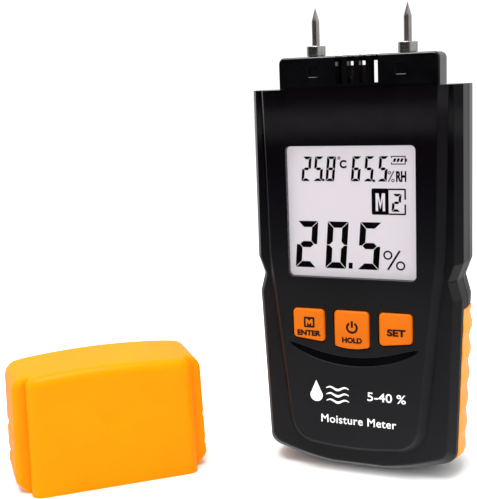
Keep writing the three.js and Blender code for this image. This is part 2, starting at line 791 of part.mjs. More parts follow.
function batteryLead(x) {
  const start = STUD_Y - 6.5;
  return wire([[x, start, 57.4], [x, start - 1, 57.6], [x, -5.2, 59.4], [x, BOARD_BACK + 0.15, 60]], 0.6);
}

// ---- Protective cap, drawn about its own centre line and then stood beside the meter ----
function crown(x, height) {
  const { crownRadius } = CAP;
  return height - (crownRadius - Math.sqrt(crownRadius ** 2 - x ** 2));
}

function capOutline(bottomX, topX, height, corner, foot) {
  const edgeZ = crown(topX, height);
  const base = foot > 0 ? [[bottomX - foot, 0], [bottomX, foot + 0.8]] : [[bottomX, 0]];
  const cornerX = topX - corner;
  const shoulder = curve(
    [topX + 0.15, edgeZ - corner],
    [topX, edgeZ],
    [cornerX, crown(cornerX, height)],
    4,
  );
  const top = [topX * 0.6, topX * 0.25].map((x) => new THREE.Vector2(x, crown(x, height)));
  return symmetric([...points(base), ...shoulder, ...top]);
}

function capBlock({ bottom, top, front, back }, corner, foot, inset) {
  const soft = CAP.edge;
  const height = CAP.height - inset;
  const outline = (less) =>
    capOutline(bottom - inset - less, top - inset - less, height - less, corner, foot);
  return loftY(
    { outline: outline(soft), at: back - inset },
    { outline: outline(0), at: back - inset - soft },
    { outline: outline(0), at: -(front - inset - soft) },
    { outline: outline(soft), at: -(front - inset) },
  );
}

function protectiveCap() {
  const { panel, cheek, wall } = CAP;
  const outside = join(
    capBlock(panel, panel.corner, 0, 0),
    capBlock(cheek, cheek.corner, cheek.foot, 0),
  );
  const below = 3; // the hollow runs out through the open bottom
  const hollow = join(
    capBlock(panel, panel.corner, 0, wall),
    capBlock(cheek, cheek.corner, 0, wall),
    box([-24, 24], [-14.4, 9], [-below, 3]),
    box([-28, 28], [-9, 9], [-below, 3]),
  );
  const { x: ribX, y: ribY, half: ribHalf, z: ribZ } = CAP.rib;
  const ribs = [-1, 1].flatMap((side) =>
    [-ribY, ribY].map((y) =>
      box(side > 0 ? ribX : [-ribX[1], -ribX[0]], [y - ribHalf, y + ribHalf], ribZ),
    ),
  );
  const { heights, deep, half } = CAP.notch;
  const notches = [-1, 1].flatMap((side) =>
    heights.map((z) => {
      const face = THREE.MathUtils.lerp(cheek.bottom, cheek.top, z / CAP.height);
      const [near, far] = [side * (face - deep), side * (face + 3)];
      return box([Math.min(near, far), Math.max(near, far)], [-FAR, FAR], [z - half, z + half]);
    }),
  );
  return cut(join(cut(outside, hollow), ...ribs), ...notches);
}

// ---- Materials ----
const paint = (color, roughness, metalness = 0) => ({ color, roughness, metalness });
const BLACK = paint(0x17181a, 0.45);
const GLOSS_BLACK = paint(0x0c0d10, 0.2);
const ORANGE = paint(0xff9a08, 0.35);
const KEY_ORANGE = paint(0xf59a1e, 0.5);
const STEEL = paint(0xc9c9cc, 0.25, 1);
const BRASS = paint(0xc9a24a, 0.35, 1);
const BOARD_GREEN = paint(0x1f5c3a, 0.5);
const CLEAR = { ...paint(0xffffff, 0.05), transparent: true, opacity: 0.2 };
const LCD_GREY = paint(0xd3ccd6, 0.3);
const SILICONE = paint(0xb8b8b0, 0.7);
const DARK = paint(0x222326, 0.6);

const group = new THREE.Group();

function add(name, solid, finish, parent = group) {
  const mesh = new THREE.Mesh(geometryOf(solid), new THREE.MeshStandardMaterial(finish));
  mesh.name = name;
  parent.add(mesh);
}

add("front_shell", frontShell(), BLACK);
add("rear_shell", rearShell(), BLACK);
add("grip_left", grip(-1), ORANGE);
add("grip_right", grip(1), ORANGE);
add("battery_door", batteryDoor(), BLACK);
CASE_SCREWS.forEach((at, i) => add(`case_screw_${i + 1}`, caseScrew(at), STEEL));

add("display_window", displayWindow(), CLEAR);
add("lcd_frame", lcdFrame(), DARK);
add("lcd_panel", lcdPanel(), LCD_GREY);
add("light_guide", lightGuide(), SILICONE);
add("zebra_connector", zebraConnector(), DARK);

for (const [name, key] of Object.entries(KEYS)) {
  add(`key_${name}`, keyPiece(key), KEY_ORANGE);
  add(`key_pill_${name}`, keyPill(key), DARK);
}
add("keypad_mat", keypadMat(), SILICONE);

add("main_board", mainBoard(), BOARD_GREEN);
BOARD_SCREWS.forEach((at, i) => add(`board_screw_${i + 1}`, boardScrew(at), STEEL));
add("controller_chip", controllerChip(), DARK);
add("quartz_can", quartzCan(), STEEL);
add("buzzer", buzzer(), DARK);
add("capacitor", capacitor(), DARK);

add("sensor_head", sensorHead(), GLOSS_BLACK);
for (const [name, side] of [["left", -1], ["right", 1]]) {
  add(`pin_${name}`, pin(side * PIN_X), STEEL);
  add(`pin_socket_${name}`, pinSocket(side * PIN_X), STEEL);
  add(`pin_nut_${name}`, pinNut(side * PIN_X), STEEL);
  add(`contact_lug_${name}`, contactLug(side * PIN_X), BRASS);
  add(`pin_lead_${name}`, pinLead(side), DARK);
}
add("humidity_board", humidityBoard(), BOARD_GREEN);
add("humidity_sensor", humiditySensor(), DARK);
add("sensor_cable", sensorCable(), SILICONE);

add("battery_9v", battery(), DARK);
add("battery_snap", batterySnap(), BLACK);
add("battery_lead_red", batteryLead(-2.4), paint(0xc02020, 0.5));
add("battery_lead_black", batteryLead(2.4), DARK);

const capStand = new THREE.Group();
capStand.position.set(...CAP.place, 0);
capStand.rotation.z = THREE.MathUtils.degToRad(CAP.yaw);
group.add(capStand);
add("protective_cap", protectiveCap(), ORANGE, capStand);

export default group;
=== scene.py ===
"""Looks of the pin moisture meter and its cap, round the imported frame."""

import json
import math

import bmesh
import bpy
from mathutils import Matrix, Vector


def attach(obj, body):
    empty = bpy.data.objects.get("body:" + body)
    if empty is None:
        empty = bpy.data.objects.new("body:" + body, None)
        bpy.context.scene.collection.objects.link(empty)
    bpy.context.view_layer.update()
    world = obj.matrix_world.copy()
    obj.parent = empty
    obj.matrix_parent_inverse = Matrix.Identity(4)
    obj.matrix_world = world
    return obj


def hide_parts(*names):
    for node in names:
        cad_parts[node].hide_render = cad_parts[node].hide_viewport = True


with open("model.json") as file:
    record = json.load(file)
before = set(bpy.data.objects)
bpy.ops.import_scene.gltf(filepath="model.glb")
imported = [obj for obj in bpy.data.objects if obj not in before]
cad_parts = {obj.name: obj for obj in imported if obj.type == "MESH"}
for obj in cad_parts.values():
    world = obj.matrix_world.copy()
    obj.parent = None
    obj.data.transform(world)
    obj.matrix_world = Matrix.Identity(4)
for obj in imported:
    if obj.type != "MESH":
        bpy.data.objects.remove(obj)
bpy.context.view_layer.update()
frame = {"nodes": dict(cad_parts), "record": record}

MM = 0.001

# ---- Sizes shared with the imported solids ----
BODY_TOP = 123.0
HALF_TOP, HALF_SHOULDER, HALF_WAIST, HALF_HIP, HALF_FOOT = 33.8, 34.0, 32.0, 33.6, 31.7
SHOULDER_Z, WAIST_Z, HIP_Z, FOOT_Z = 69.5, 64.0, 58.0, 8.0
CORNER_X = 27.5
SOLE_RADIUS, LAND = 92.0, 9.6
FRONT_Y, BACK_Y = -14.2, 14.5
LEDGE_Y, LEDGE_INSET = -10.6, 2.8
SEAM = 0.02
PANEL_TOP_HALF, PANEL_MID_HALF, PANEL_MID_Z = 27.2, 26.3, 72.0
PANEL_FOOT_HALF, PANEL_FOOT_Z = 20.5, 17.0
PANEL_BOTTOM_HALF, PANEL_BOTTOM_Z = 14.0, 9.2
PANEL_INNER_Y = -12.4
WINDOW_HALF, WINDOW_BOTTOM, WINDOW_TOP = 20.4, 64.7, 105.7
KEY_TOP, KEY_FACE_Y = 54.4, -15.0
SMILE_HALF, SMILE_LOWEST, SMILE_RISE, SMILE_WIDTH = 20.9, 37.8, 5.1, 2.8
KEYS = {
    "enter": [(-19.2, 45.0), (-8.8, 43.8), (-8.8, KEY_TOP), (-19.2, KEY_TOP)],
    "power": [(-5.6, 42.8), (0.0, 42.1), (5.6, 42.8), (5.6, KEY_TOP), (-5.6, KEY_TOP)],
    "set": [(8.8, 43.8), (19.2, 45.0), (19.2, KEY_TOP), (8.8, KEY_TOP)],
}
HEAD_HALF, HEAD_FRONT, HEAD_BACK, HEAD_TOP = 25.6, -4.0, 7.5, 132.8
HEAD_Y = (HEAD_FRONT + HEAD_BACK) / 2
PIN_X = 14.75
VENT_PITCH = 3.8
CAP_PLACE, CAP_YAW = (-80.4, -32.4), 41.0
CAP_HEIGHT, CROWN_RADIUS = 39.8, 230.0
CAP_BOTTOM, CAP_TOP, CAP_REACH, CAP_WALL = 31.9, 31.0, 11.6, 2.2
CAP_PANEL_FRONT, CAP_PANEL_BACK = 17.0, 11.0
GRIP_BOTTOM, GRIP_TOP, GRIP_DEPTH = 6.0, 54.5, 2.0
GRIP_PITCH, GRIP_FIRST_PEAK = 8.15, 15.4
VENT_FLOOR, VENT_ROOF = 124.2, 131.0
CASE_SCREWS = [(-24, 114.5), (24, 114.5), (-24, 48), (24, 48)]
FAR = 40.0


# ---- Curves ----
def bend(a, control, b, steps):
    """Points of a quadratic curve from a to b."""
    path = []
    for i in range(steps + 1):
        t = i / steps
        path.append(
            tuple(
                (1 - t) ** 2 * p + 2 * t * (1 - t) * c + t * t * q
                for p, c, q in zip(a, control, b)
            )
        )
    return path


def corner_arc(before, corner, after, radius, steps):
    """A true arc of that radius in the corner, or a smaller one where the sides are short."""
    before, corner, after = Vector(before), Vector(corner), Vector(after)
    u, v = before - corner, after - corner
    half = u.angle(v) / 2
    if half > math.pi / 2 - 1e-3:
        return [tuple(corner)] * (steps + 1)
    reach = min(radius / math.tan(half), 0.48 * u.length, 0.48 * v.length)
    size = reach * math.tan(half)
    centre = corner + (u.normalized() + v.normalized()).normalized() * (size / math.sin(half))
    start = corner + u.normalized() * reach - centre
    end = corner + v.normalized() * reach - centre
    whole = start.angle(end)
    path = []
    for i in range(steps + 1):
        t = i / steps
        arm = (math.sin((1 - t) * whole) * start + math.sin(t * whole) * end) / math.sin(whole)
        path.append(tuple(centre + arm))
    return path


def rounded_path(points, radii, steps=4):
    """An open path whose inner corners are rounded."""
    path = [points[0]]
    for i, radius in enumerate(radii):
        path += corner_arc(points[i], points[i + 1], points[i + 2], radius, steps)
    return path + [points[-1]]


def rounded_loop(points, radius, steps=6):
    """A closed outline whose corners are rounded."""
    n = len(points)
    loop = []
    for i in range(n):
        loop += corner_arc(points[i - 1], points[i], points[(i + 1) % n], radius, steps)
    return loop


def rectangle(x0, x1, z0, z1, radius=0.0, steps=6):
    corners = [(x0, z0), (x1, z0), (x1, z1), (x0, z1)]
    return rounded_loop(corners, radius, steps) if radius else corners


def mirrored(right):
    """Right half of an outline, from the bottom up, joined to its mirror image."""
    return right + [(-x, z) for x, z in reversed(right) if x > 1e-6]


def circle(x, z, radius, steps=32):
    turn = 2 * math.pi / steps
    return [(x + radius * math.cos(i * turn), z + radius * math.sin(i * turn)) for i in range(steps)]


def lerp(a, b, t):
    return a + (b - a) * t


def grown(outline, by):
    """An outline pushed outwards evenly; it runs anticlockwise."""
    n = len(outline)
    result = []
    for i in range(n):
        ax, az = outline[i - 1]
        bx, bz = outline[(i + 1) % n]
        along = Vector((bx - ax, bz - az))
        if along.length < 1e-9:
            result.append(outline[i])
            continue
        along.normalize()
        result.append((outline[i][0] + along.y * by, outline[i][1] - along.x * by))
    return result


# ---- Solids ----
def solid(verts, faces, name="scratch"):
    mesh = bpy.data.meshes.new(name)
    mesh.from_pydata([tuple(v) for v in verts], [], faces)
    bm = bmesh.new()
    bm.from_mesh(mesh)
    bmesh.ops.remove_doubles(bm, verts=bm.verts, dist=1e-4)
    bmesh.ops.dissolve_degenerate(bm, dist=1e-5, edges=bm.edges)
    bmesh.ops.recalc_face_normals(bm, faces=bm.faces)
    bm.to_mesh(mesh)
    bm.free()
    obj = bpy.data.objects.new(name, mesh)
    bpy.context.collection.objects.link(obj)
    return obj


def loft(rings, closed=False):
    """A closed skin through rings of equal counts; a closed loft joins its last ring to its first."""
    n = len(rings[0])
    verts = [p for ring in rings for p in ring]
    faces = []
    spans = len(rings) if closed else len(rings) - 1
    for k in range(spans):
        a, b = k * n, ((k + 1) % len(rings)) * n
        faces += [(a + i, a + (i + 1) % n, b + (i + 1) % n, b + i) for i in range(n)]
    if not closed:
        faces.append(tuple(range(n)))
        faces.append(tuple(range((len(rings) - 1) * n, len(rings) * n)))
    return solid(verts, faces)


def at_y(outline, y):
    return [(x, y, z) for x, z in outline]


def at_z(outline, z):
    return [(x, y, z) for x, y in outline]


def box(x, y, z):
    return loft([at_y(rectangle(*x, *z), level) for level in y])


def edge_levels(start, end, radius, steps=4):
    """(inset, level) pairs that round both ends of a loft."""
    sign = 1 if end > start else -1
    arc = [i * math.pi / 2 / steps for i in range(steps + 1)]
    first = [(radius * (1 - math.sin(a)), start + sign * radius * (1 - math.cos(a))) for a in arc]
    last = [(radius * (1 - math.sin(a)), end - sign * radius * (1 - math.cos(a))) for a in reversed(arc)]
    return first + last


def rod(x, z, radius, y, steps=32):
    return loft([at_y(circle(x, z, radius, steps), level) for level in y])


def upright(x, y, radius, z, steps=32):
    return loft([at_z(circle(x, y, radius, steps), level) for level in z])


def turned(profile, x, y, steps=64):
    """A lathe piece about a vertical line; profile is (radius, z) from its foot, and ends on the axis."""
    rings = [at_z(circle(x, y, max(radius, 1e-3), steps), z) for radius, z in profile]
    return loft(rings)


def flared(outline, rim, y_out, y_in, y_rim, steps=4):
    """A cutter that leaves a rounded rim of that radius on the face at y_rim."""
    sign = 1 if y_in > y_rim else -1
    rings = [at_y(grown(outline, rim), y_out), at_y(grown(outline, rim), y_rim)]
    for i in range(1, steps + 1):
        a = i * math.pi / 2 / steps
        rings.append(at_y(grown(outline, rim * (1 - math.sin(a))), y_rim + sign * rim * (1 - math.cos(a))))
    rings.append(at_y(outline, y_in))
    return loft(rings)


def boolean(kind, base, *tools):
    for tool in tools:
        step = base.modifiers.new("step", "BOOLEAN")
        step.operation = kind
        step.solver = "EXACT"
        step.object = tool
    bpy.context.view_layer.update()
    graph = bpy.context.evaluated_depsgraph_get()
    made = bpy.data.meshes.new_from_object(base.evaluated_get(graph))
    base.modifiers.clear()
    old, base.data = base.data, made
    bpy.data.meshes.remove(old)
    for tool in tools:
        bpy.data.objects.remove(tool)
    return base


def cut(base, *tools):
    return boolean("DIFFERENCE", base, *tools)


def join(base, *tools):
    return boolean("UNION", base, *tools)


def merged(*objects):
    """Separate closed solids in one mesh."""
    bm = bmesh.new()
    for obj in objects:
        bm.from_mesh(obj.data)
        bpy.data.objects.remove(obj)
    mesh = bpy.data.meshes.new("merged")
    bm.to_mesh(mesh)
    bm.free()
    obj = bpy.data.objects.new("merged", mesh)
    bpy.context.collection.objects.link(obj)
    return obj


def finish(obj, name, body, material, stands_for=(), sharp=24.0):
    """Metres, clean mesh, smooth shading between sharp edges, material and body."""
    obj.name = name
    mesh = obj.data
    mesh.name = name
    mesh.transform(Matrix.Scale(MM, 4))
    bm = bmesh.new()
    bm.from_mesh(mesh)
    bmesh.ops.remove_doubles(bm, verts=bm.verts, dist=1e-7)
    bmesh.ops.dissolve_degenerate(bm, dist=1e-7, edges=bm.edges)
    bmesh.ops.recalc_face_normals(bm, faces=bm.faces)
    for face in bm.faces:
        face.smooth = True
    for edge in bm.edges:
        edge.smooth = edge.calc_face_angle(0.0) < math.radians(sharp)
    bm.to_mesh(mesh)
    bm.free()
    mesh.materials.clear()
    mesh.materials.append(material)
    shade = obj.modifiers.new("shade", "WEIGHTED_NORMAL")
    shade.keep_sharp = True
    shade.weight = 80
    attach(obj, body)
    if stands_for:
        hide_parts(*stands_for)
    return obj


# ---- Materials ----
class Look:
    """A material's node tree, with object coordinates in metres."""

    def __init__(self, name):
        self.material = bpy.data.materials.new(name)
        self.material.use_nodes = True
        self.tree = self.material.node_tree
        self.tree.nodes.clear()
        self.out = self.add("ShaderNodeOutputMaterial")
        self.place = self.add("ShaderNodeTexCoord").outputs["Object"]

    def add(self, kind, settings=None, **inputs):
        node = self.tree.nodes.new(kind)
        for key, value in (settings or {}).items():
            setattr(node, key, value)
        for key, value in inputs.items():
            self.feed(node.inputs[key.replace("_", " ")], value)
        return node

    def feed(self, socket, value):
        if isinstance(value, bpy.types.NodeSocket):
            self.tree.links.new(value, socket)
        elif isinstance(value, (tuple, list)) and len(value) == 3 and socket.type == "RGBA":
            socket.default_value = (*value, 1)
        else:
            socket.default_value = value

    def stretched(self, scale):
        return self.add("ShaderNodeMapping", Vector=self.place, Scale=scale).outputs[0]

    def noise(self, scale, detail=3.0, rough=0.5, place=None):
        node = self.add(
            "ShaderNodeTexNoise", Vector=place or self.place, Scale=scale, Detail=detail, Roughness=rough
        )
        return node.outputs["Fac"]

    def ramp(self, value, *stops):
        node = self.add("ShaderNodeValToRGB", Fac=value)
        points = node.color_ramp.elements
        while len(points) < len(stops):
            points.new(0.5)
        for point, (at, colour) in zip(points, stops):
            point.position = at
            point.color = (*colour, 1)
        return node.outputs["Color"]

    def spread(self, value, low, high, start=0.3, end=0.7):
        """A number from low to high as value runs from start to end."""
        node = self.add(
            "ShaderNodeMapRange", Value=value, From_Min=start, From_Max=end, To_Min=low, To_Max=high
        )
        return node.outputs[0]

    def math(self, operation, a, b=0.5):
        node = self.tree.nodes.new("ShaderNodeMath")
        node.operation = operation
        self.feed(node.inputs[0], a)
        self.feed(node.inputs[1], b)
        return node.outputs[0]

    def mix(self, share, a, b, blend="MIX"):
        node = self.tree.nodes.new("ShaderNodeMix")
        node.data_type = "RGBA"
        node.blend_type = blend
        self.feed(node.inputs[0], share)
        self.feed(node.inputs[6], a)
        self.feed(node.inputs[7], b)
        return node.outputs[2]

    def axis(self, name):
        split = self.add("ShaderNodeSeparateXYZ", Vector=self.place)
        return split.outputs[name]

    def bump(self, height, strength, distance, under=None):
        node = self.add("ShaderNodeBump", Height=height, Strength=strength, Distance=distance)
        if under is not None:
            self.feed(node.inputs["Normal"], under)
        return node.outputs[0]

    def surface(self, **inputs):
        shader = self.add("ShaderNodeBsdfPrincipled", None, **inputs)
        self.tree.links.new(shader.outputs[0], self.out.inputs[0])
        return self.material


def grey(value, tint=(1.0, 1.0, 1.0)):
    return tuple(value * t for t in tint)


def moulded(name, low, high, rough, grain, depth, **more):
    """Moulded plastic: faint mottle in its colour, uneven gloss, fine texture from the tool."""
    look = Look(name)
    colour = look.ramp(look.noise(60, 4), (0.3, low), (0.7, high))
    fine = look.noise(grain, 2)
    normal = look.bump(fine, 0.35, depth)
    roughness = look.spread(look.noise(180, 3), rough[0], rough[1])
    return look.surface(Base_Color=colour, Roughness=roughness, Normal=normal, **more)


def metal(name, low, high, rough, along, depth=4e-6, **more):
    """Worked metal: fine tool lines along one axis and patchy gloss."""
    look = Look(name)
    lines = look.noise(900, 2, place=look.stretched(along))
    colour = look.ramp(look.noise(140, 4), (0.3, low), (0.7, high))
    roughness = look.spread(lines, rough[0], rough[1])
    normal = look.bump(lines, 0.3, depth)
    return look.surface(Base_Color=colour, Roughness=roughness, Normal=normal, Metallic=1.0, **more)


def housing_look():
    """Black housing: grained below, smoother and glossier towards the top, and darker towards the top with
    painted shade.
    """
    look = Look("housing")
    height = look.axis("Z")
    # Painted shade: the colour darkens from low to high towards the top.
    shade = look.spread(height, 0.0, 1.0, 0.020, 0.108)
    polish = look.spread(height, 0.0, 1.0, 0.058, 0.092)
    mottle = look.noise(45, 4)
    low = look.ramp(mottle, (0.3, (0.0066, 0.0070, 0.0090)), (0.7, (0.0086, 0.0092, 0.0116)))
    high = look.ramp(mottle, (0.3, (0.0012, 0.0006, 0.0013)), (0.7, (0.0018, 0.0010, 0.0019)))
    colour = look.mix(shade, low, high)
    gloss = look.spread(look.noise(160, 3), 0.0, 0.03)
    roughness = look.math("ADD", look.spread(polish, 0.38, 0.05, 0.0, 1.0), gloss)
    depth = look.spread(polish, 1.0, 0.12, 0.0, 1.0)
    normal = look.bump(look.math("MULTIPLY", look.noise(3200, 2), depth), 0.3, 1.0e-5)
    return look.surface(
        Base_Color=colour, Roughness=roughness, Normal=normal, Specular_IOR_Level=0.42
    )


def board_look(name, base, copper):
    """Circuit board: solder mask with straight tracks and plated pads."""
    look = Look(name)
    brick = look.add(
        "ShaderNodeTexBrick",
        {"offset": 0.5, "squash": 1.0},
        Vector=look.add("ShaderNodeMapping", Vector=look.place, Rotation=(math.pi / 2, 0, 0)).outputs[0],
        Scale=220.0,
        Mortar_Size=0.012,
        Color1=(0, 0, 0),
        Color2=(0, 0, 0),
        Mortar=(1, 1, 1),
    )
    pads = look.add("ShaderNodeTexVoronoi", {"feature": "F1"}, Vector=look.place, Scale=420.0)
    dots = look.spread(pads.outputs["Distance"], 1.0, 0.0, 0.16, 0.22)
    mask = look.ramp(look.noise(90, 3), (0.3, grey(0.8, base)), (0.7, grey(1.15, base)))
    tracks = look.mix(brick.outputs["Color"], mask, grey(1.9, base))
    colour = look.mix(dots, tracks, copper)
    return look.surface(
        Base_Color=colour,
        Roughness=look.spread(dots, 0.32, 0.42, 0.0, 1.0),
        Normal=look.bump(brick.outputs["Color"], 0.3, 3e-5),
    )


def battery_look():
    """Battery jacket: dark lower part, a pale ring and a metal top, in bands along its height."""
    look = Look("battery")
    height = look.axis("Z")
    band = look.spread(height, 0.0, 1.0, 0.0087, 0.0549)
    colour = look.ramp(
        band,
        (0.0, (0.35, 0.35, 0.36)),
        (0.03, (0.012, 0.014, 0.02)),
        (0.70, (0.012, 0.014, 0.02)),
        (0.705, (0.55, 0.56, 0.58)),
        (0.985, (0.5, 0.51, 0.53)),
        (1.0, (0.35, 0.35, 0.36)),
    )
    worn = look.mix(look.spread(look.noise(240, 4), 0.0, 0.25, 0.55, 0.8), colour, (0.3, 0.3, 0.3))
    return look.surface(
        Base_Color=worn,
        Roughness=look.spread(look.noise(500, 3), 0.25, 0.4),
        Metallic=look.spread(band, 0.0, 0.85, 0.69, 0.71),
        Normal=look.bump(look.noise(700, 2), 0.2, 1e-5),
    )


def lcd_look(name, lift=1.0):
    """Display glass: pale lilac grey, with painted light that makes it lighter towards its upper left, and a
    glow of painted light that evens out the shade of its recess.
    """
    look = Look(name)
    # Painted light: the colour is lighter towards the upper left.
    across = look.spread(look.axis("X"), 1.0, 0.0, -0.024, 0.024)
    up = look.spread(look.axis("Z"), 0.0, 1.0, 0.063, 0.108)
    share = look.math("MULTIPLY", look.math("ADD", across, up), 0.5)
    painted_light_tone = look.mix(share, (0.94, 0.87, 0.94), (1.0, 0.93, 0.985))
    fine = look.noise(2600, 2)
    colour = look.mix(look.spread(fine, 0.0, 0.08), painted_light_tone, (0.85, 0.78, 0.85))
    # Painted light: the display glows so that the shade of its recess does not show.
    return look.surface(
        Base_Color=look.mix(1.0, colour, grey(0.26 * lift), "MULTIPLY"),
        Roughness=look.spread(fine, 0.42, 0.5),
        Specular_IOR_Level=0.2,
        Emission_Color=colour,
        Emission_Strength=0.46 * lift,
    )


def window_look():
    """Clear hard window: what is behind shows, with a mirror film by angle and faint wipe marks."""
    look = Look("clear_window")
    clear = look.add("ShaderNodeBsdfTransparent", Color=(1, 1, 1))
    wipe = look.spread(look.noise(120, 4, place=look.stretched((1, 1, 0.25))), 0.03, 0.09)
    shine = look.add("ShaderNodeBsdfGlossy", Color=(1, 1, 1), Roughness=wipe)
    slant = look.add("ShaderNodeLayerWeight", Blend=0.5).outputs["Facing"]
    share = look.math("MULTIPLY_ADD", look.math("POWER", slant, 5.0), 0.9)
    look.feed(share.node.inputs[2], 0.02)
    mixed = look.tree.nodes.new("ShaderNodeMixShader")
    look.feed(mixed.inputs[0], share)
    look.tree.links.new(clear.outputs[0], mixed.inputs[1])
    look.tree.links.new(shine.outputs[0], mixed.inputs[2])
    look.tree.links.new(mixed.outputs[0], look.out.inputs[0])
    return look.material


def ink(name, low, high, rough):
    return moulded(name, low, high, rough, 2500, 2e-6, Specular_IOR_Level=0.3)


HOUSING = housing_look()
HEAD_BLACK = moulded(
    "head_gloss", (0.0010, 0.0008, 0.0014), (0.0022, 0.0020, 0.0028), (0.09, 0.15), 1500, 2e-6
)
ORANGE = moulded(
    "cap_plastic", (0.93, 0.248, 0.0), (0.98, 0.268, 0.0), (0.24, 0.27), 2400, 2e-6,
    Specular_IOR_Level=0.08, IOR=1.38, Subsurface_Weight=0.1, Subsurface_Scale=1.0,
    Subsurface_Radius=(0.004, 0.0012, 0.0002),
)
RUBBER = moulded(
    "grip_rubber", (0.90, 0.30, 0.012), (0.97, 0.36, 0.02), (0.36, 0.46), 2800, 1.2e-5,
    Sheen_Weight=0.15, Sheen_Roughness=0.4,
)
KEY_LOOK = moulded(
    "key_plastic", (0.55, 0.112, 0.0), (0.61, 0.132, 0.0), (0.30, 0.36), 3000, 4e-6, Specular_IOR_Level=0.12
)
PRINT_WHITE = ink("print_white", (0.80, 0.80, 0.80), (0.88, 0.88, 0.88), (0.5, 0.6))
PRINT_BLACK = ink("print_black", (0.004, 0.002, 0.002), (0.008, 0.005, 0.004), (0.5, 0.6))
LCD_INK = moulded(
    "lcd_ink", (0.0004, 0.0003, 0.0005), (0.0012, 0.0010, 0.0014), (0.5, 0.6), 2500, 2e-6,
    Specular_IOR_Level=0.05,
)
LCD_PALE = lcd_look("display_cleared", 1.05)
LCD = lcd_look("display")
WINDOW = window_look()
PIN_STEEL = metal("pin_steel", (0.50, 0.46, 0.42), (0.62, 0.58, 0.54), (0.22, 0.36), (1, 1, 0.06))
NICKEL = metal("nickel", (0.52, 0.51, 0.49), (0.64, 0.63, 0.61), (0.16, 0.28), (0.06, 0.06, 1))
SCREW = metal("screw_steel", (0.45, 0.46, 0.48), (0.58, 0.59, 0.60), (0.25, 0.42), (1, 1, 1))
BRASS = metal("lug_brass", (0.60, 0.42, 0.14), (0.72, 0.52, 0.20), (0.28, 0.42), (0.1, 1, 1))
BOARD = board_look("board_green", (0.02, 0.13, 0.06), (0.75, 0.55, 0.22))
VENT_BOARD = board_look("board_brown", (0.022, 0.014, 0.011), (0.14, 0.10, 0.07))
BY_SLOT = {
    "carbon_black": moulded("carbon_pill", (0.012, 0.012, 0.012), (0.02, 0.02, 0.02), (0.6, 0.75), 1800, 2e-5),
    "lcd_grey": LCD,
    "frame_black": moulded("inner_frame", (0.012, 0.012, 0.013), (0.02, 0.02, 0.021), (0.5, 0.65), 2000, 1.5e-5),
    "diffuser_white": moulded("diffuser", (0.72, 0.72, 0.70), (0.80, 0.80, 0.78), (0.35, 0.5), 1500, 8e-6),
    "silicone_grey": moulded("silicone", (0.38, 0.38, 0.36), (0.46, 0.46, 0.44), (0.5, 0.62), 1400, 1.5e-5),
    "board_green": BOARD,
    "chip_black": moulded("chip_epoxy", (0.010, 0.010, 0.011), (0.018, 0.018, 0.019), (0.45, 0.6), 2600, 1.5e-5),
    "screw_steel": SCREW,
    "nickel_plate": NICKEL,
    "lug_brass": BRASS,
    "lead_white": moulded("lead_white", (0.66, 0.66, 0.63), (0.76, 0.76, 0.73), (0.4, 0.5), 1200, 1e-5),
    "lead_red": moulded("lead_red", (0.50, 0.012, 0.010), (0.60, 0.02, 0.015), (0.38, 0.48), 1200, 1e-5),
    "lead_black": moulded("lead_black", (0.010, 0.010, 0.010), (0.018, 0.018, 0.018), (0.38, 0.48), 1200, 1e-5),
    "battery_jacket": battery_look(),
    "snap_black": moulded("snap_vinyl", (0.012, 0.012, 0.012), (0.02, 0.02, 0.02), (0.45, 0.58), 1600, 1.5e-5),
    "pin_steel": PIN_STEEL,
}


# ---- The meter's outlines ----
def sole(x):
    """Height of the rounded underside, flat across its land."""
    def arc(at):
        return SOLE_RADIUS - math.sqrt(SOLE_RADIUS**2 - at**2)

    return max(0.0, arc(x) - arc(LAND))


def hip(z):
    return HALF_FOOT + (HALF_HIP - HALF_FOOT) / (HIP_Z - FOOT_Z) * (z - FOOT_Z)


def body(inset, lower=None, top=0.0):
    """Body silhouette, pulled in by inset above the waist, lower below it and top at the top."""
    lower = inset if lower is None else lower
    corner = CORNER_X - lower
    right = [(x * corner / CORNER_X, sole(x) + lower) for x in (0, 4.8, 9.6, 12.5, 15.5, 18.5, 21.5, 24.5)]
    right += bend(
        (corner, sole(CORNER_X) + lower),
        (HALF_FOOT - lower, sole(HALF_FOOT) + lower - 0.4),
        (HALF_FOOT + 0.02 - lower, FOOT_Z + lower),
        10,
    )
    side = [
        right[-1],
        (HALF_HIP - lower, HIP_Z),
        (HALF_WAIST - inset, WAIST_Z),
        (HALF_SHOULDER - inset, SHOULDER_Z),
        (HALF_TOP - inset, BODY_TOP - top),
    ]
    return mirrored(right[:-1] + rounded_path(side, [2.5, 1.4, 2.0]) + [(0.0, BODY_TOP - top)])


def panel(grow, top=0.0):
    """Raised front panel, grown on its sides and bottom."""
    foot, bottom = PANEL_FOOT_HALF + grow, PANEL_BOTTOM_Z - grow
    right = [(0.0, bottom), (7.0, bottom + 0.25)]
    right += bend((PANEL_BOTTOM_HALF, bottom + 1), (foot - 1.2, bottom + 2), (foot, PANEL_FOOT_Z), 12)
    side = [
        right[-1],
        (PANEL_MID_HALF + grow, PANEL_MID_Z),
        (PANEL_TOP_HALF + grow, BODY_TOP - top),
    ]
    return mirrored(right[:-1] + rounded_path(side, [30.0], 8) + [(0.0, BODY_TOP - top)])


def levels(path, radii, steps=4):
    return rounded_path(path, radii, steps)


def neck_cut():
    return box((-21.3, 21.3), (-2.8, 6.3), (115, BODY_TOP + 5))


def grip_pocket(side):
    bottom, top = 5.7, 54.8
    right = [(hip(bottom) - 2.3, bottom), (FAR, bottom), (FAR, top), (hip(top) - 2.3, top)]
    outline = [(side * x, z) for x, z in right]
    return loft([at_y(outline, -5.3), at_y(outline, 7.8)])


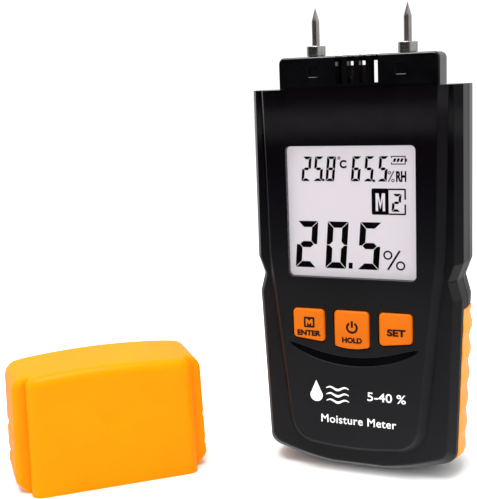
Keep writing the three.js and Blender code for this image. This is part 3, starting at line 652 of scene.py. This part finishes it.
# ---- Front shell ----
shoulder_levels = levels(
    [(0.2, -1.65), (0.0, -1.9), (0.7, -7.2), (LEDGE_INSET, LEDGE_Y), (LEDGE_INSET + 1.2, LEDGE_Y)],
    [0.3, 1.0, 0.8],
    5,
)[:-1]
front = loft([at_y(body(inset), y) for inset, y in shoulder_levels])
bevel_levels = levels([(2.4, -9.0), (2.4, -10.8), (0.0, FRONT_Y), (-1.5, FRONT_Y)], [0.3, 0.7], 5)[:-1]
raised = loft([at_y(panel(grow), y) for grow, y in bevel_levels])
join(front, raised)

hollow = loft(
    [
        at_y(body(2.2, 4.2, 2.0), -1.0),
        at_y(body(2.8, 4.4, 2.0), -6.2),
        at_y(body(5.6, 6.4, 2.0), -8.9),
    ]
)
deep = loft([at_y(panel(-0.4, 2.0), -8.0), at_y(panel(-0.4, 2.0), PANEL_INNER_Y)])
join(hollow, deep)

window_outline = rectangle(-WINDOW_HALF, WINDOW_HALF, WINDOW_BOTTOM, WINDOW_TOP, 1.5, 8)
key_outlines = {name: rounded_loop(corners, 1.25, 6) for name, corners in KEYS.items()}
key_outlines["power"] = mirrored(
    [(0.0, 42.1), (1.4, 42.13), (2.8, 42.28), (4.0, 42.48)]
    + corner_arc((4.0, 42.48), (5.6, 42.85), (5.6, KEY_TOP), 1.25, 6)
    + corner_arc((5.6, 42.8), (5.6, KEY_TOP), (0, KEY_TOP), 1.25, 6)
    + [(2.0, KEY_TOP), (0.0, KEY_TOP)]
)
smile_low, smile_high = [], []
for i in range(41):
    along = i / 20 - 1
    middle = SMILE_LOWEST + SMILE_RISE * along**2
    half = SMILE_WIDTH / 2 * math.sqrt(max(0.0, 1 - along**4))
    smile_low.append((SMILE_HALF * along, middle - half))
    if half > 0:
        smile_high.append((SMILE_HALF * along, middle + half))
smile = smile_low + smile_high[::-1]
key_cuts = [flared(grown(o, 0.35), 0.3, -20, -11, FRONT_Y) for o in key_outlines.values()]
cut(
    front,
    hollow,
    flared(window_outline, 0.25, -20, -11, FRONT_Y),
    *key_cuts,
    flared(smile, 0.2, -20, FRONT_Y + 0.6, FRONT_Y),
    neck_cut(),
    grip_pocket(1),
    grip_pocket(-1),
)
finish(front, "front_housing", "meter", HOUSING, ["front_shell"], sharp=16)

# A glossy black strip inside the smile groove: painted shade that stands in for the dark inside of the groove.
groove_shade = loft([at_y(grown(smile, -0.1), FRONT_Y + depth) for depth in (0.65, 0.3)])
finish(groove_shade, "smile_groove_shade", "meter", HEAD_BLACK)

# ---- Rear shell, with its screw wells, battery bay and door seat ----
back_path = levels(
    [(0.2, -1.35), (0.0, -1.1), (0.0, 5.0), (1.6, 10.0), (5.0, 13.6), (7.5, BACK_Y), (9.5, BACK_Y)],
    [0.3, 8.0, 7.0, 5.0, 2.5],
    5,
)[:-1]


def back_top(inset):
    """How far the rounded back has come down from the top where the sides have come in by inset."""
    stops = [(0.0, 0.0), (1.6, 0.3), (5.0, 1.4), (7.5, 3.0), (9.5, 4.4)]
    for (a, low), (b, high) in zip(stops, stops[1:]):
        if inset <= b:
            return lerp(low, high, (inset - a) / (b - a))
    return stops[-1][1]


rear = loft([at_y(body(inset, inset, back_top(inset)), y) for inset, y in back_path])
rear_hollow = loft(
    [
        at_y(body(2.2, 4.2, 2.0), -3.0),
        at_y(body(2.2, 4.2, 2.0), 4.6),
        at_y(body(3.8, 5.4, 2.6), 9.4),
        at_y(body(7.2, 8.4, 4.4), 12.3),
    ]
)
cut(rear, rear_hollow)
join(
    rear,
    box((-15.1, 15.1), (-6.3, 12.6), (6.8, 62.6)),
    box((-18, 18), (10.6, 12.6), (6.8, 63.5)),
    *[rod(x, z, 3.4, (-1.3, 12.9), 24) for x, z in CASE_SCREWS],
)
tab_slots = [box((side * 10 - 2.4, side * 10 + 2.4), (12.2, FAR), (6.7, 9.0)) for side in (-1, 1)]
cut(
    rear,
    box((-13.8, 13.8), (-5.3, FAR), (8.4, 61.3)),
    loft([at_y(rectangle(-16.6, 16.6, 8.7, 62.1, 1.2), y) for y in (12.6, FAR)]),
    box((-16.6, 16.6), (14.05, FAR), (7.6, 9.0)),
    box((-4.6, 4.6), (-8.3, -4.3), (56.5, 61.3)),
    *tab_slots,
)
cut(
    rear,
    *[rod(x, z, 1.4, (-5, FAR), 24) for x, z in CASE_SCREWS],
    *[flared(circle(x, z, 2.4), 0.35, FAR, 6.0, 13.9, 4) for x, z in CASE_SCREWS],
    neck_cut(),
    grip_pocket(1),
    grip_pocket(-1),
)
finish(rear, "rear_housing", "meter", HOUSING, ["rear_shell"], sharp=16)

# ---- Battery door ----
door_rings = []
for inset, y in edge_levels(BACK_Y, 12.9, 0.45):
    less = inset if y > 13.7 else inset * 0.4
    door_rings.append(at_y(rectangle(-16.3 + less, 16.3 - less, 9 + less, 61.8 - less, 1.2), y))
door = loft(door_rings)
for side in (-1, 1):
    span = (side * 10 - 2, side * 10 + 2)
    hinge_rod = loft([[(x, 13.5 + 0.9 * math.cos(a), 8 + 0.9 * math.sin(a)) for a in
                       (i * math.pi / 12 for i in range(24))] for x in span])
    join(door, hinge_rod, box(span, (12.95, 14.05), (8, 10)))
grooves = []
for i in range(5):
    z, half = 58.2 - 1.7 * i, 6.4 - 0.9 * i
    groove = rectangle(-half, half, z - 0.45, z + 0.45, 0.44, 6)
    grooves.append(flared(groove, 0.15, FAR, BACK_Y - 0.5, BACK_Y, 3))
cut(door, *grooves)
finish(door, "battery_cover", "door", HOUSING, ["battery_door"], sharp=16)


# ---- Side grips ----
def ridge(z, share):
    along = (z - GRIP_FIRST_PEAK) / GRIP_PITCH
    height = max(0.3, lerp(0.6, 1.0, along / 4))
    return share * height * (0.5 + 0.5 * math.cos(2 * math.pi * along))


def grip(side):
    path = levels([(7.5, 0.2), (4.0, 0.8), (-1.0, 1.0), (-5.0, 0.5)], [3.0, 5.0], 5)
    proud_at = [(7.5, -0.6), (4.0, 0.1), (-1.0, 0.1), (-5.0, -0.3)]
    rings = []
    stations = []
    for y, share in path:
        for (a, low), (b, high) in zip(proud_at, proud_at[1:]):
            if b <= y <= a:
                proud = lerp(low, high, (a - y) / (a - b))
                break
        stations.append((y, share, proud))
    first, last = stations[0], stations[-1]
    soften = [(0.55, 0.0), (0.25, 0.12), (0.08, 0.3), (0.0, 0.55)]
    ends = [(first[0] - d, first[1], first[2] - drop) for drop, d in soften]
    inner = [s for s in stations if first[0] - 0.6 > s[0] > last[0] + 0.6]
    fronts = [(last[0] + d, last[1], last[2] - drop) for drop, d in reversed(soften)]
    for y, share, proud in ends + inner + fronts:
        outer = []
        for i in range(97):
            z = lerp(GRIP_BOTTOM, GRIP_TOP, i / 96)
            near = min(z - GRIP_BOTTOM, GRIP_TOP - z)
            tuck = 0.5 * max(0.0, 1 - near / 0.8) ** 2
            outer.append((hip(z) + proud + ridge(z, share) - tuck, z))
        outline = outer + [(hip(z) - GRIP_DEPTH, z) for z in (GRIP_TOP, GRIP_BOTTOM)]
        rings.append(at_y([(side * x, z) for x, z in outline], y))
    return loft(rings)


finish(grip(1), "grip_pad_right", "meter", RUBBER, ["grip_right"], sharp=35)
finish(grip(-1), "grip_pad_left", "meter", RUBBER, ["grip_left"], sharp=35)


# ---- Keys ----
def key_piece(outline):
    """Flange, straight sides, rounded rim and a slightly crowned face."""
    cx = sum(x for x, z in outline) / len(outline)
    cz = (min(z for x, z in outline) + max(z for x, z in outline)) / 2
    rings = [
        at_y([(cx + 2.4 * math.cos(math.atan2(z - cz, x - cx)),
               cz + 2.4 * math.sin(math.atan2(z - cz, x - cx))) for x, z in outline], y)
        for y in (-9.5, -11.2)
    ]
    rings += [at_y(grown(outline, 0.9), -11.2), at_y(grown(outline, 0.9), -11.9), at_y(outline, -11.9)]
    rim = 0.75
    for i in range(7):
        a = i * math.pi / 2 / 6
        rings.append(at_y(grown(outline, -rim * (1 - math.cos(a))), KEY_FACE_Y + 0.1 + rim * (1 - math.sin(a))))
    top = grown(outline, -rim)
    for share in (0.86, 0.7, 0.5, 0.3, 0.12):
        crown = 0.1 * (1 - share**2)
        inner = [(cx + (x - cx) * share, cz + (z - cz) * share) for x, z in top]
        rings.append(at_y(inner, KEY_FACE_Y + 0.1 - crown))
    return loft(rings)


for key, outline in key_outlines.items():
    finish(key_piece(outline), f"button_{key}", f"{key}_key", KEY_LOOK, [f"key_{key}"], sharp=40)


# ---- Flat marks: thin plates on a face that looks towards -Y ----
def plates(polygons, y, thick=0.03):
    return merged(*[loft([at_y(p, y + thick * 0.5), at_y(p, y - thick)]) for p in polygons])


def lettering(text, x, z, y, bold=0.03, thick=0.03, spacing=1.0):
    """Raised print that fills the ranges x and z."""
    curve = bpy.data.curves.new("letters", "FONT")
    curve.body = text
    curve.extrude = 0.5
    curve.offset = bold
    curve.space_character = spacing
    curve.resolution_u = 5
    text_object = bpy.data.objects.new("letters", curve)
    bpy.context.collection.objects.link(text_object)
    bpy.context.view_layer.update()
    graph = bpy.context.evaluated_depsgraph_get()
    mesh = bpy.data.meshes.new_from_object(text_object.evaluated_get(graph))
    bpy.data.objects.remove(text_object)
    across = [v.co.x for v in mesh.vertices]
    up = [v.co.y for v in mesh.vertices]
    for vertex in mesh.vertices:
        co = vertex.co
        vertex.co = (
            lerp(x[0], x[1], (co.x - min(across)) / (max(across) - min(across))),
            y + thick * (0.5 if co.z < 0 else -1),
            lerp(z[0], z[1], (co.y - min(up)) / (max(up) - min(up))),
        )
    obj = bpy.data.objects.new("letters", mesh)
    bpy.context.collection.objects.link(obj)
    return obj


def letter_m(x, z, stroke):
    """The letter M as one polygon that fills the ranges x and z."""
    middle, notch = (x[0] + x[1]) / 2, lerp(z[0], z[1], 0.12)
    slant = stroke * 1.25
    return [
        (x[0], z[0]), (x[0] + stroke, z[0]), (x[0] + stroke, z[1] - 2.2 * stroke), (middle, notch),
        (x[1] - stroke, z[1] - 2.2 * stroke), (x[1] - stroke, z[0]), (x[1], z[0]), (x[1], z[1]),
        (x[1] - slant, z[1]), (middle, notch + 2.4 * stroke), (x[0] + slant, z[1]), (x[0], z[1]),
    ]


def ring_mark(x, z, outer, inner, y, thick=0.03, start=0.0, sweep=360.0, steps=40):
    """A flat ring, or part of one, as a closed band."""
    whole = sweep >= 360
    count = steps if whole else steps + 1
    angles = [math.radians(start + sweep * i / steps) for i in range(count)]
    rings = [
        [
            (x + r * math.cos(a), level, z + r * math.sin(a))
            for r, level in (
                (outer, y - thick),
                (outer, y + thick * 0.5),
                (inner, y + thick * 0.5),
                (inner, y - thick),
            )
        ]
        for a in angles
    ]
    return loft(rings, closed=whole)


def strip(x0, z0, x1, z1, width):
    """A straight stroke as a four-cornered polygon."""
    along = Vector((x1 - x0, z1 - z0)).normalized() * width / 2
    return [
        (x0 + along.y, z0 - along.x),
        (x1 + along.y, z1 - along.x),
        (x1 - along.y, z1 + along.x),
        (x0 - along.y, z0 + along.x),
    ]


# Legends on the keys
LEGEND_Y = KEY_FACE_Y - 0.005
enter_marks = merged(
    plates([rectangle(-15.5, -12.0, 48.4, 51.8, 0.3)], LEGEND_Y, 0.05),
    lettering("ENTER", (-17.8, -10.0), (45.7, 47.5), LEGEND_Y, bold=0.045, thick=0.05),
)
finish(enter_marks, "legend_enter", "enter_key", PRINT_BLACK)
enter_letter = plates([letter_m((-14.9, -12.6), (49.0, 51.2), 0.46)], LEGEND_Y - 0.05)
finish(enter_letter, "legend_enter_letter", "enter_key", KEY_LOOK)
POWER_X, POWER_Z = 0.25, 49.2
power_marks = merged(
    ring_mark(POWER_X, POWER_Z, 1.9, 1.25, LEGEND_Y, 0.05, 122, 296),
    plates([strip(POWER_X, POWER_Z, POWER_X, POWER_Z + 2.1, 0.65)], LEGEND_Y, 0.05),
    lettering("HOLD", (-3.0, 3.4), (44.2, 46.0), LEGEND_Y, bold=0.045, thick=0.05),
)
finish(power_marks, "legend_power", "power_key", PRINT_BLACK)
set_marks = lettering("SET", (11.4, 17.2), (47.3, 49.6), LEGEND_Y, bold=0.045, thick=0.05)
finish(set_marks, "legend_set", "set_key", PRINT_BLACK)


# Print on the panel: a generic drop with two ripples, a range and what the meter is
def drop_outline(x, z, radius, height):
    path = [(x, z + height)]
    for i in range(25):
        a = math.radians(40 - 260 * i / 24)
        path.append((x + radius * math.cos(a), z + radius * math.sin(a)))
    return path[::-1]


def ripple(x0, x1, z, swing, width, steps=24):
    top, low = [], []
    for i in range(steps + 1):
        t = i / steps
        mid = z + swing * math.sin(2 * math.pi * t * 1.5)
        thin = width * (0.35 + 0.65 * math.sin(math.pi * t))
        top.append((lerp(x0, x1, t), mid + thin / 2))
        low.append((lerp(x0, x1, t), mid - thin / 2))
    return low + top[::-1]


icon = merged(
    plates([drop_outline(-12.2, 25.9, 2.1, 5.0)], FRONT_Y),
    plates([ripple(-8.9, -1.4, 28.6, 0.45, 0.8), ripple(-8.9, -1.4, 26.5, 0.45, 0.8)], FRONT_Y),
    plates([ripple(-8.9, -1.4, 24.4, 0.45, 0.8)], FRONT_Y),
)
finish(icon, "print_icon", "meter", PRINT_WHITE)
range_print = lettering("5-40 %", (4.6, 16.9), (25.5, 28.4), FRONT_Y, bold=0.012)
finish(range_print, "print_range", "meter", PRINT_WHITE)
label = lettering("Moisture Meter", (-10.8, 13.8), (17.0, 19.7), FRONT_Y, bold=0.012, spacing=1.05)
finish(label, "print_label", "meter", PRINT_WHITE)

# ---- Display: the ink of its digits and signs ----
LCD_FACE = -11.1
SEGMENTS = {"0": "abcdef", "2": "abged", "5": "afgcd", "6": "afgedc", "8": "abcdefg"}


def digit(char, x, z, wide, high, thick, gap, lean=0.085):
    """Seven-segment digit as mitred strokes, leaning to the right."""
    mid, half = high / 2, thick / 2
    left, right = gap, wide - gap
    strokes = {
        "a": [(left, high), (right, high), (right - thick, high - thick), (left + thick, high - thick)],
        "d": [(left, 0), (left + thick, thick), (right - thick, thick), (right, 0)],
        "f": [(0, high - gap), (0, mid + gap / 2), (half, mid + gap), (thick, mid + half + gap),
              (thick, high - thick - gap)],
        "b": [(wide, high - gap), (wide - thick, high - thick - gap), (wide - thick, mid + half + gap),
              (wide - half, mid + gap), (wide, mid + gap / 2)],
        "e": [(0, gap), (thick, thick + gap), (thick, mid - half - gap), (half, mid - gap), (0, mid - gap / 2)],
        "c": [(wide, gap), (wide, mid - gap / 2), (wide - half, mid - gap), (wide - thick, mid - half - gap),
              (wide - thick, thick + gap)],
        "g": [(half + gap, mid), (thick + gap, mid - half), (wide - thick - gap, mid - half),
              (wide - half - gap, mid), (wide - thick - gap, mid + half), (thick + gap, mid + half)],
    }
    return [[(x + px + pz * lean, z + pz) for px, pz in strokes[s]] for s in SEGMENTS[char]]


ink_shapes = []
for char, x in (("2", -19.1), ("0", -9.2), ("5", 1.3)):
    ink_shapes += digit(char, x, 67.1, 6.75, 14.9, 1.95, 0.14, 0.08)
ink_shapes.append([(-1.6, 67.2), (-0.3, 67.2), (-0.2, 69.1), (-1.5, 69.1)])
for char, x in (("2", -16.4), ("5", -12.45), ("8", -8.5), ("6", -0.35), ("5", 3.7), ("5", 8.05)):
    ink_shapes += digit(char, x, 94.6, 2.85, 7.7, 0.86, 0.1, 0.1)
ink_shapes += [circle(-9.15, 95.0, 0.42, 16), circle(6.95, 94.8, 0.42, 16)]
ink_shapes.append(rectangle(6.15, 11.45, 84.4, 92.5, 0.5))
ink_shapes += digit("2", 12.3, 85.4, 2.7, 5.5, 0.78, 0.1)
ink_shapes += [
    rectangle(11.4, 16.5, 92.0, 92.5),
    rectangle(11.4, 16.5, 84.4, 84.9),
    rectangle(16.3, 16.8, 89.1, 92.4),
    rectangle(16.3, 16.8, 84.5, 87.7),
]
ink_shapes.append(strip(10.95, 67.3, 14.75, 73.4, 0.62))
ink_shapes.append(strip(11.45, 94.5, 13.15, 97.8, 0.32))
battery_frame = [
    rectangle(12.3, 16.7, 102.05, 102.35),
    rectangle(12.3, 16.7, 99.75, 100.05),
    rectangle(12.3, 12.6, 99.75, 100.4),
    rectangle(12.3, 12.6, 101.7, 102.35),
    rectangle(16.5, 16.8, 99.75, 102.35),
    rectangle(16.8, 17.2, 100.6, 101.5),
]
ink_shapes += battery_frame
ink_shapes += [
    [(x, 100.55), (x + 0.75, 100.55), (x + 1.15, 101.6), (x + 0.4, 101.6)] for x in (12.85, 13.95, 15.05)
]
signs = [
    ring_mark(11.0, 71.9, 1.45, 0.93, LCD_FACE),
    ring_mark(14.95, 68.7, 1.45, 0.93, LCD_FACE),
    ring_mark(11.8, 97.3, 0.5, 0.24, LCD_FACE, steps=20),
    ring_mark(12.85, 94.9, 0.5, 0.24, LCD_FACE, steps=20),
    ring_mark(-4.0, 101.8, 0.5, 0.24, LCD_FACE, steps=20),
    lettering("C", (-3.8, -1.6), (98.6, 101.2), LCD_FACE, 0.045),
    lettering("RH", (13.8, 16.95), (94.5, 97.8), LCD_FACE, 0.05),
]
lcd_ink = merged(plates(ink_shapes, LCD_FACE), *signs)
finish(lcd_ink, "display_digits", "meter", LCD_INK)
mode = plates([letter_m((7.4, 10.35), (85.5, 91.0), 0.75)], LCD_FACE - 0.03)
finish(mode, "display_mode_letter", "meter", LCD_PALE)

window_rings = [at_y(rectangle(-22.6, 22.6, 62.5, 107.9, 0.6), y) for y in (-11.4, -12.1)]
for inset, y in edge_levels(-13.8, -11.9, 0.2)[:5][::-1]:
    window_rings.append(at_y(grown(rectangle(-20.1, 20.1, 65.0, 105.4, 1.3, 8), -inset), y))
lens = join(
    loft(window_rings[:2]),
    loft([at_y(rectangle(-20.1, 20.1, 65.0, 105.4, 1.3, 8), -11.9)] + window_rings[2:]),
)
finish(lens, "display_lens", "meter", WINDOW, ["display_window"], sharp=20)


# ---- Sensor head ----
def head_outline(inset):
    half, top = HEAD_HALF - inset, HEAD_TOP - inset
    right = [(0.0, BODY_TOP + SEAM), (half, BODY_TOP + SEAM)]
    right += corner_arc((half, BODY_TOP), (half, top), (0, top), 1.9, 8)
    return mirrored(right + [(0.0, top)])


head = loft([at_y(head_outline(inset), y) for inset, y in edge_levels(HEAD_FRONT, HEAD_BACK, 0.8, 6)])
join(head, box((-21, 21), (-2.5, 6), (118.4, 124)), box((-23.5, 23.5), (-4, 6.9), (118.4, 120.7)))
vent_cuts = []
for x in (VENT_PITCH * place for place in (-1.5, -0.5, 0.5, 1.5)):
    widths = [(1.025, VENT_FLOOR), (1.025, 132.4), (1.2, 132.7), (1.6, 133.8)]
    vent_cuts.append(loft([at_z(rectangle(x - half, x + half, -FAR, 3.1), z) for half, z in widths]))
for x in (VENT_PITCH * place for place in (-1, 0, 1)):
    vent_cuts.append(box((x - 1.2, x + 1.2), (0.4, FAR), (VENT_FLOOR, VENT_ROOF)))
cut(
    head,
    *vent_cuts,
    box((-6.725, 6.725), (-0.6, 4.1), (VENT_FLOOR, VENT_ROOF)),
    box((-6.6, 3.8), (0.9, 2.5), (110, 130)),
    *[upright(x, HEAD_Y, 2.8, (110, 140)) for x in (-PIN_X, PIN_X)],
)
pockets = []
for x in (-14.0, 14.0):
    recess = rectangle(x - 1.7, x + 1.7, 126.6, 130.1, 0.45)
    pockets.append(flared(recess, 0.3, -FAR, HEAD_FRONT + 0.6, HEAD_FRONT, 4))
cut(head, *pockets)
finish(head, "probe_head", "meter", HEAD_BLACK, ["sensor_head"], sharp=22)

for side, x in (("left", -PIN_X), ("right", PIN_X)):
    collar = [
        (0, 112), (2.3, 112), (2.5, 112.3), (2.5, 133.0), (2.85, 133.0), (3.0, 133.15), (3.0, 135.8),
        (2.93, 135.98), (2.78, 136.1), (1.5, 136.1), (1.42, 136.0), (1.4, 135.9), (1.4, 124.0), (0, 124.0),
    ]
    finish(turned(collar, x, HEAD_Y), f"collar_{side}", "meter", NICKEL, [f"pin_socket_{side}"])
    needle = [
        (0, 124.3), (1.1, 124.3), (1.2, 124.45), (1.2, 143.6), (1.17, 143.9), (0.92, 144.8), (0.55, 146.1),
        (0.25, 147.2), (0.12, 147.8), (0, 148.0),
    ]
    finish(turned(needle, x, HEAD_Y, 48), f"needle_{side}", "meter", PIN_STEEL, [f"pin_{side}"])


# ---- Protective cap, drawn about its own centre line and then stood beside the meter ----
def crown(x, height):
    return height - (CROWN_RADIUS - math.sqrt(CROWN_RADIUS**2 - x * x))


def cap_outline(bottom, top, height, corner, foot):
    edge = crown(top, height)
    right = [(0.0, 0.0)]
    if foot:
        right += corner_arc((0, 0), (bottom - foot, 0), (bottom, foot + 0.8), 1.0, 4)
        right += corner_arc((bottom - foot, 0), (bottom, foot + 0.8), (top, edge), 1.5, 4)
    else:
        right += [(bottom, 0.0)]
    right += corner_arc((bottom, 0), (top, edge), (top - 15, crown(top - 15, height)), corner, 12)
    start = right[-1][0]
    right += [(start * (1 - i / 10), crown(start * (1 - i / 10), height)) for i in range(1, 11)]
    return mirrored(right)


def cap_block(bottom, top, front, back, corner, foot, soft, less=0.0, face_rings=0, draft=0.0):
    """Block with rounded front and back edges, narrower in front by draft; less shrinks it."""
    height = CAP_HEIGHT - less
    reach, rear = front - less, back - less

    def outline(inset, y=0.0):
        narrow = less + inset + draft * (rear - y) / (reach + rear)
        return cap_outline(bottom - narrow, top - narrow, height - inset, corner, foot)

    rings = [at_y(outline(inset, y), y) for inset, y in edge_levels(-reach, rear, soft, 9)]
    if face_rings:
        face = outline(soft)
        middle = Vector((0.0, height / 2))
        inner = []
        for i in range(1, face_rings + 1):
            share = 1 - i / (face_rings + 1)
            ring = [(middle.x + (x - middle.x) * share, middle.y + (z - middle.y) * share) for x, z in face]
            inner.append([(x, -reach + dimple(x, z), z) for x, z in ring])
        rings = inner[::-1] + rings
    return loft(rings)


DIMPLE_X, DIMPLE_Z, DIMPLE_RADIUS, DIMPLE_DEPTH = 1.5, 26.5, 7.5, 1.4


def dimple(x, z):
    """Depth of the shallow thumb hollow, steeper along its lower rim."""
    away = math.hypot(x - DIMPLE_X, z - DIMPLE_Z) / DIMPLE_RADIUS
    if away >= 1:
        return 0.0
    lower = 0.5 - 0.5 * (z - DIMPLE_Z) / DIMPLE_RADIUS
    return DIMPLE_DEPTH * lower * (1 - away**6) ** 2


cap = join(
    cap_block(27.0, 26.4, CAP_PANEL_FRONT, CAP_PANEL_BACK, 3.4, 0, 3.2, face_rings=26),
    cap_block(CAP_BOTTOM, CAP_TOP, CAP_REACH, CAP_REACH, 5.0, 3, 1.8, draft=0.5),
)
cut(
    cap,
    cap_block(26.7, 26.2, CAP_PANEL_FRONT, CAP_PANEL_BACK, 1.6, 0, 1.0, CAP_WALL),
    cap_block(CAP_BOTTOM, CAP_TOP, CAP_REACH, CAP_REACH, 4.2, 0, 1.0, CAP_WALL),
    box((-24, 24), (-14.4, 9), (-3, 3)),
    box((-28, 28), (-9, 9), (-3, 3)),
)
cap_notches = []
for side in (-1, 1):
    for z in (8.0, 17.7):
        face = lerp(CAP_BOTTOM, CAP_TOP, z / CAP_HEIGHT)
        wedge = [(face + 1, z - 2.9), (face + 1, z + 3.3), (face - 0.95, z + 0.5), (face - 0.95, z - 0.4)]
        shape = rounded_loop([(side * x, level) for x, level in wedge], 0.5, 5)
        cap_notches.append(loft([at_y(shape, -FAR), at_y(shape, FAR)]))
cut(cap, *cap_notches)
ribs = []
for side in (-1, 1):
    for y in (-3.2, 3.2):
        low, high = sorted((side * 26.4, side * 29.8))
        ribs.append(box((low, high), (y - 0.6, y + 0.6), (1.5, 31)))
join(cap, *ribs)
cap.data.transform(Matrix.Translation((*CAP_PLACE, 0)) @ Matrix.Rotation(math.radians(CAP_YAW), 4, "Z"))
finish(cap, "probe_cover", "cap", ORANGE, ["protective_cap"], sharp=22)

# ---- Carried-over solids get their slot's look ----
slot_of = {part["node"]: part["material_slot"] for part in frame["record"]["subparts"]}
for name, node in frame["nodes"].items():
    look = VENT_BOARD if name == "humidity_board" else BY_SLOT.get(slot_of[name])
    if look is not None:
        node.data.materials.clear()
        node.data.materials.append(look)

# ---- Floor, light and camera ----
floor_mesh = bpy.data.meshes.new("floor")
REACH = 6.0
floor_corners = [(-REACH, -REACH, 0), (REACH, -REACH, 0), (REACH, REACH, 0), (-REACH, REACH, 0)]
floor_mesh.from_pydata(floor_corners, [], [(0, 1, 2, 3)])
floor = bpy.data.objects.new("floor", floor_mesh)
bpy.context.collection.objects.link(floor)
floor_look = Look("floor")
floor_mesh.materials.append(
    floor_look.surface(Base_Color=(0.93, 0.93, 0.93), Roughness=0.9, Specular_IOR_Level=0.0)
)
floor.visible_glossy = False

scene = bpy.context.scene
scene.view_settings.view_transform = "Standard"
world = bpy.data.worlds.new("studio")
scene.world = world
world.use_nodes = True
tree = world.node_tree
tree.nodes.clear()


def world_node(kind, **inputs):
    node = tree.nodes.new(kind)
    for key, value in inputs.items():
        socket = node.inputs[key.replace("_", " ")]
        if isinstance(value, bpy.types.NodeSocket):
            tree.links.new(value, socket)
        else:
            socket.default_value = value
    return node


def world_math(operation, a, b=0.0):
    node = tree.nodes.new("ShaderNodeMath")
    node.operation = operation
    for socket, value in zip(node.inputs, (a, b)):
        if isinstance(value, bpy.types.NodeSocket):
            tree.links.new(value, socket)
        else:
            socket.default_value = value
    return node.outputs[0]


def step_up(value, start, end):
    """0 to 1 smoothly as value goes from start to end."""
    node = world_node("ShaderNodeMapRange", Value=value, From_Min=start, From_Max=end)
    node.interpolation_type = "SMOOTHSTEP"
    return node.outputs[0]


towards = world_node("ShaderNodeSeparateXYZ", Vector=world_node("ShaderNodeTexCoord").outputs["Generated"])
dir_x, dir_y, dir_z = towards.outputs
# Glossy rays meet a bright overhead and a bright table, a softer wall behind, a dark front with one strip,
# and a right side that is bright above the table.
behind = world_math("SUBTRACT", dir_y, world_math("MULTIPLY", dir_x, 0.45))
back_wall = world_math("MULTIPLY", step_up(behind, 0.45, 0.60), 0.65)
above_table = world_math("ADD", world_math("MULTIPLY", step_up(dir_z, -0.01, 0.02), 0.6), 0.22)
right_side = world_math("MULTIPLY", step_up(dir_x, 0.40, 0.80), above_table)
band = world_math("MULTIPLY", step_up(dir_z, -0.068, -0.060), step_up(dir_z, -0.032, -0.040))
front_strip = world_math("ADD", world_math("MULTIPLY", band, 0.5), 0.01)
studio = world_math("MAXIMUM", back_wall, world_math("MAXIMUM", right_side, front_strip))
studio = world_math("MAXIMUM", studio, step_up(dir_z, 0.45, 0.75))
studio = world_math("MAXIMUM", studio, step_up(dir_z, -0.30, -0.60))
rays = world_node("ShaderNodeLightPath")
glossy = world_node("ShaderNodeBackground", Strength=studio)
plain = world_node("ShaderNodeBackground", Color=(1, 1, 1, 1), Strength=1.12)
shown = world_node("ShaderNodeMixShader", Fac=rays.outputs["Is Glossy Ray"])
tree.links.new(plain.outputs[0], shown.inputs[1])
tree.links.new(glossy.outputs[0], shown.inputs[2])
world_out = world_node("ShaderNodeOutputWorld")
tree.links.new(shown.outputs[0], world_out.inputs[0])


def softbox(name, place, target, size, power):
    light = bpy.data.lights.new(name, "AREA")
    light.shape = "RECTANGLE"
    light.size, light.size_y = size
    light.energy = power
    obj = bpy.data.objects.new(name, light)
    obj.location = place
    obj.rotation_euler = (Vector(target) - Vector(place)).to_track_quat("-Z", "Y").to_euler()
    bpy.context.collection.objects.link(obj)
    return obj


softbox("top_light", (-0.1, -0.15, 0.9), (0, 0, 0.05), (0.7, 0.5), 9.5)

CAMERA_PLACE = (0.0842, -0.2935, 0.1277)
CAMERA_AZIMUTH, CAMERA_DOWN, CAMERA_ROLL = 23.55, 10.25, -2.35
CAMERA_LENS = 72.17
az, down, roll = (math.radians(v) for v in (CAMERA_AZIMUTH, CAMERA_DOWN, CAMERA_ROLL))
ahead = Vector((-math.sin(az) * math.cos(down), math.cos(az) * math.cos(down), -math.sin(down)))
level = Vector((math.cos(az), math.sin(az), 0))
upward = level.cross(ahead)
right = math.cos(roll) * level + math.sin(roll) * upward
up = -math.sin(roll) * level + math.cos(roll) * upward
lens_data = bpy.data.cameras.new("camera")
lens_data.sensor_fit = "HORIZONTAL"
lens_data.sensor_width = 36.0
lens_data.lens = CAMERA_LENS
lens_data.clip_start = 0.01
camera = bpy.data.objects.new("camera", lens_data)
bpy.context.collection.objects.link(camera)
turn = Matrix((right, up, -ahead)).transposed().to_4x4()
camera.matrix_world = Matrix.Translation(CAMERA_PLACE) @ turn
scene.camera = camera
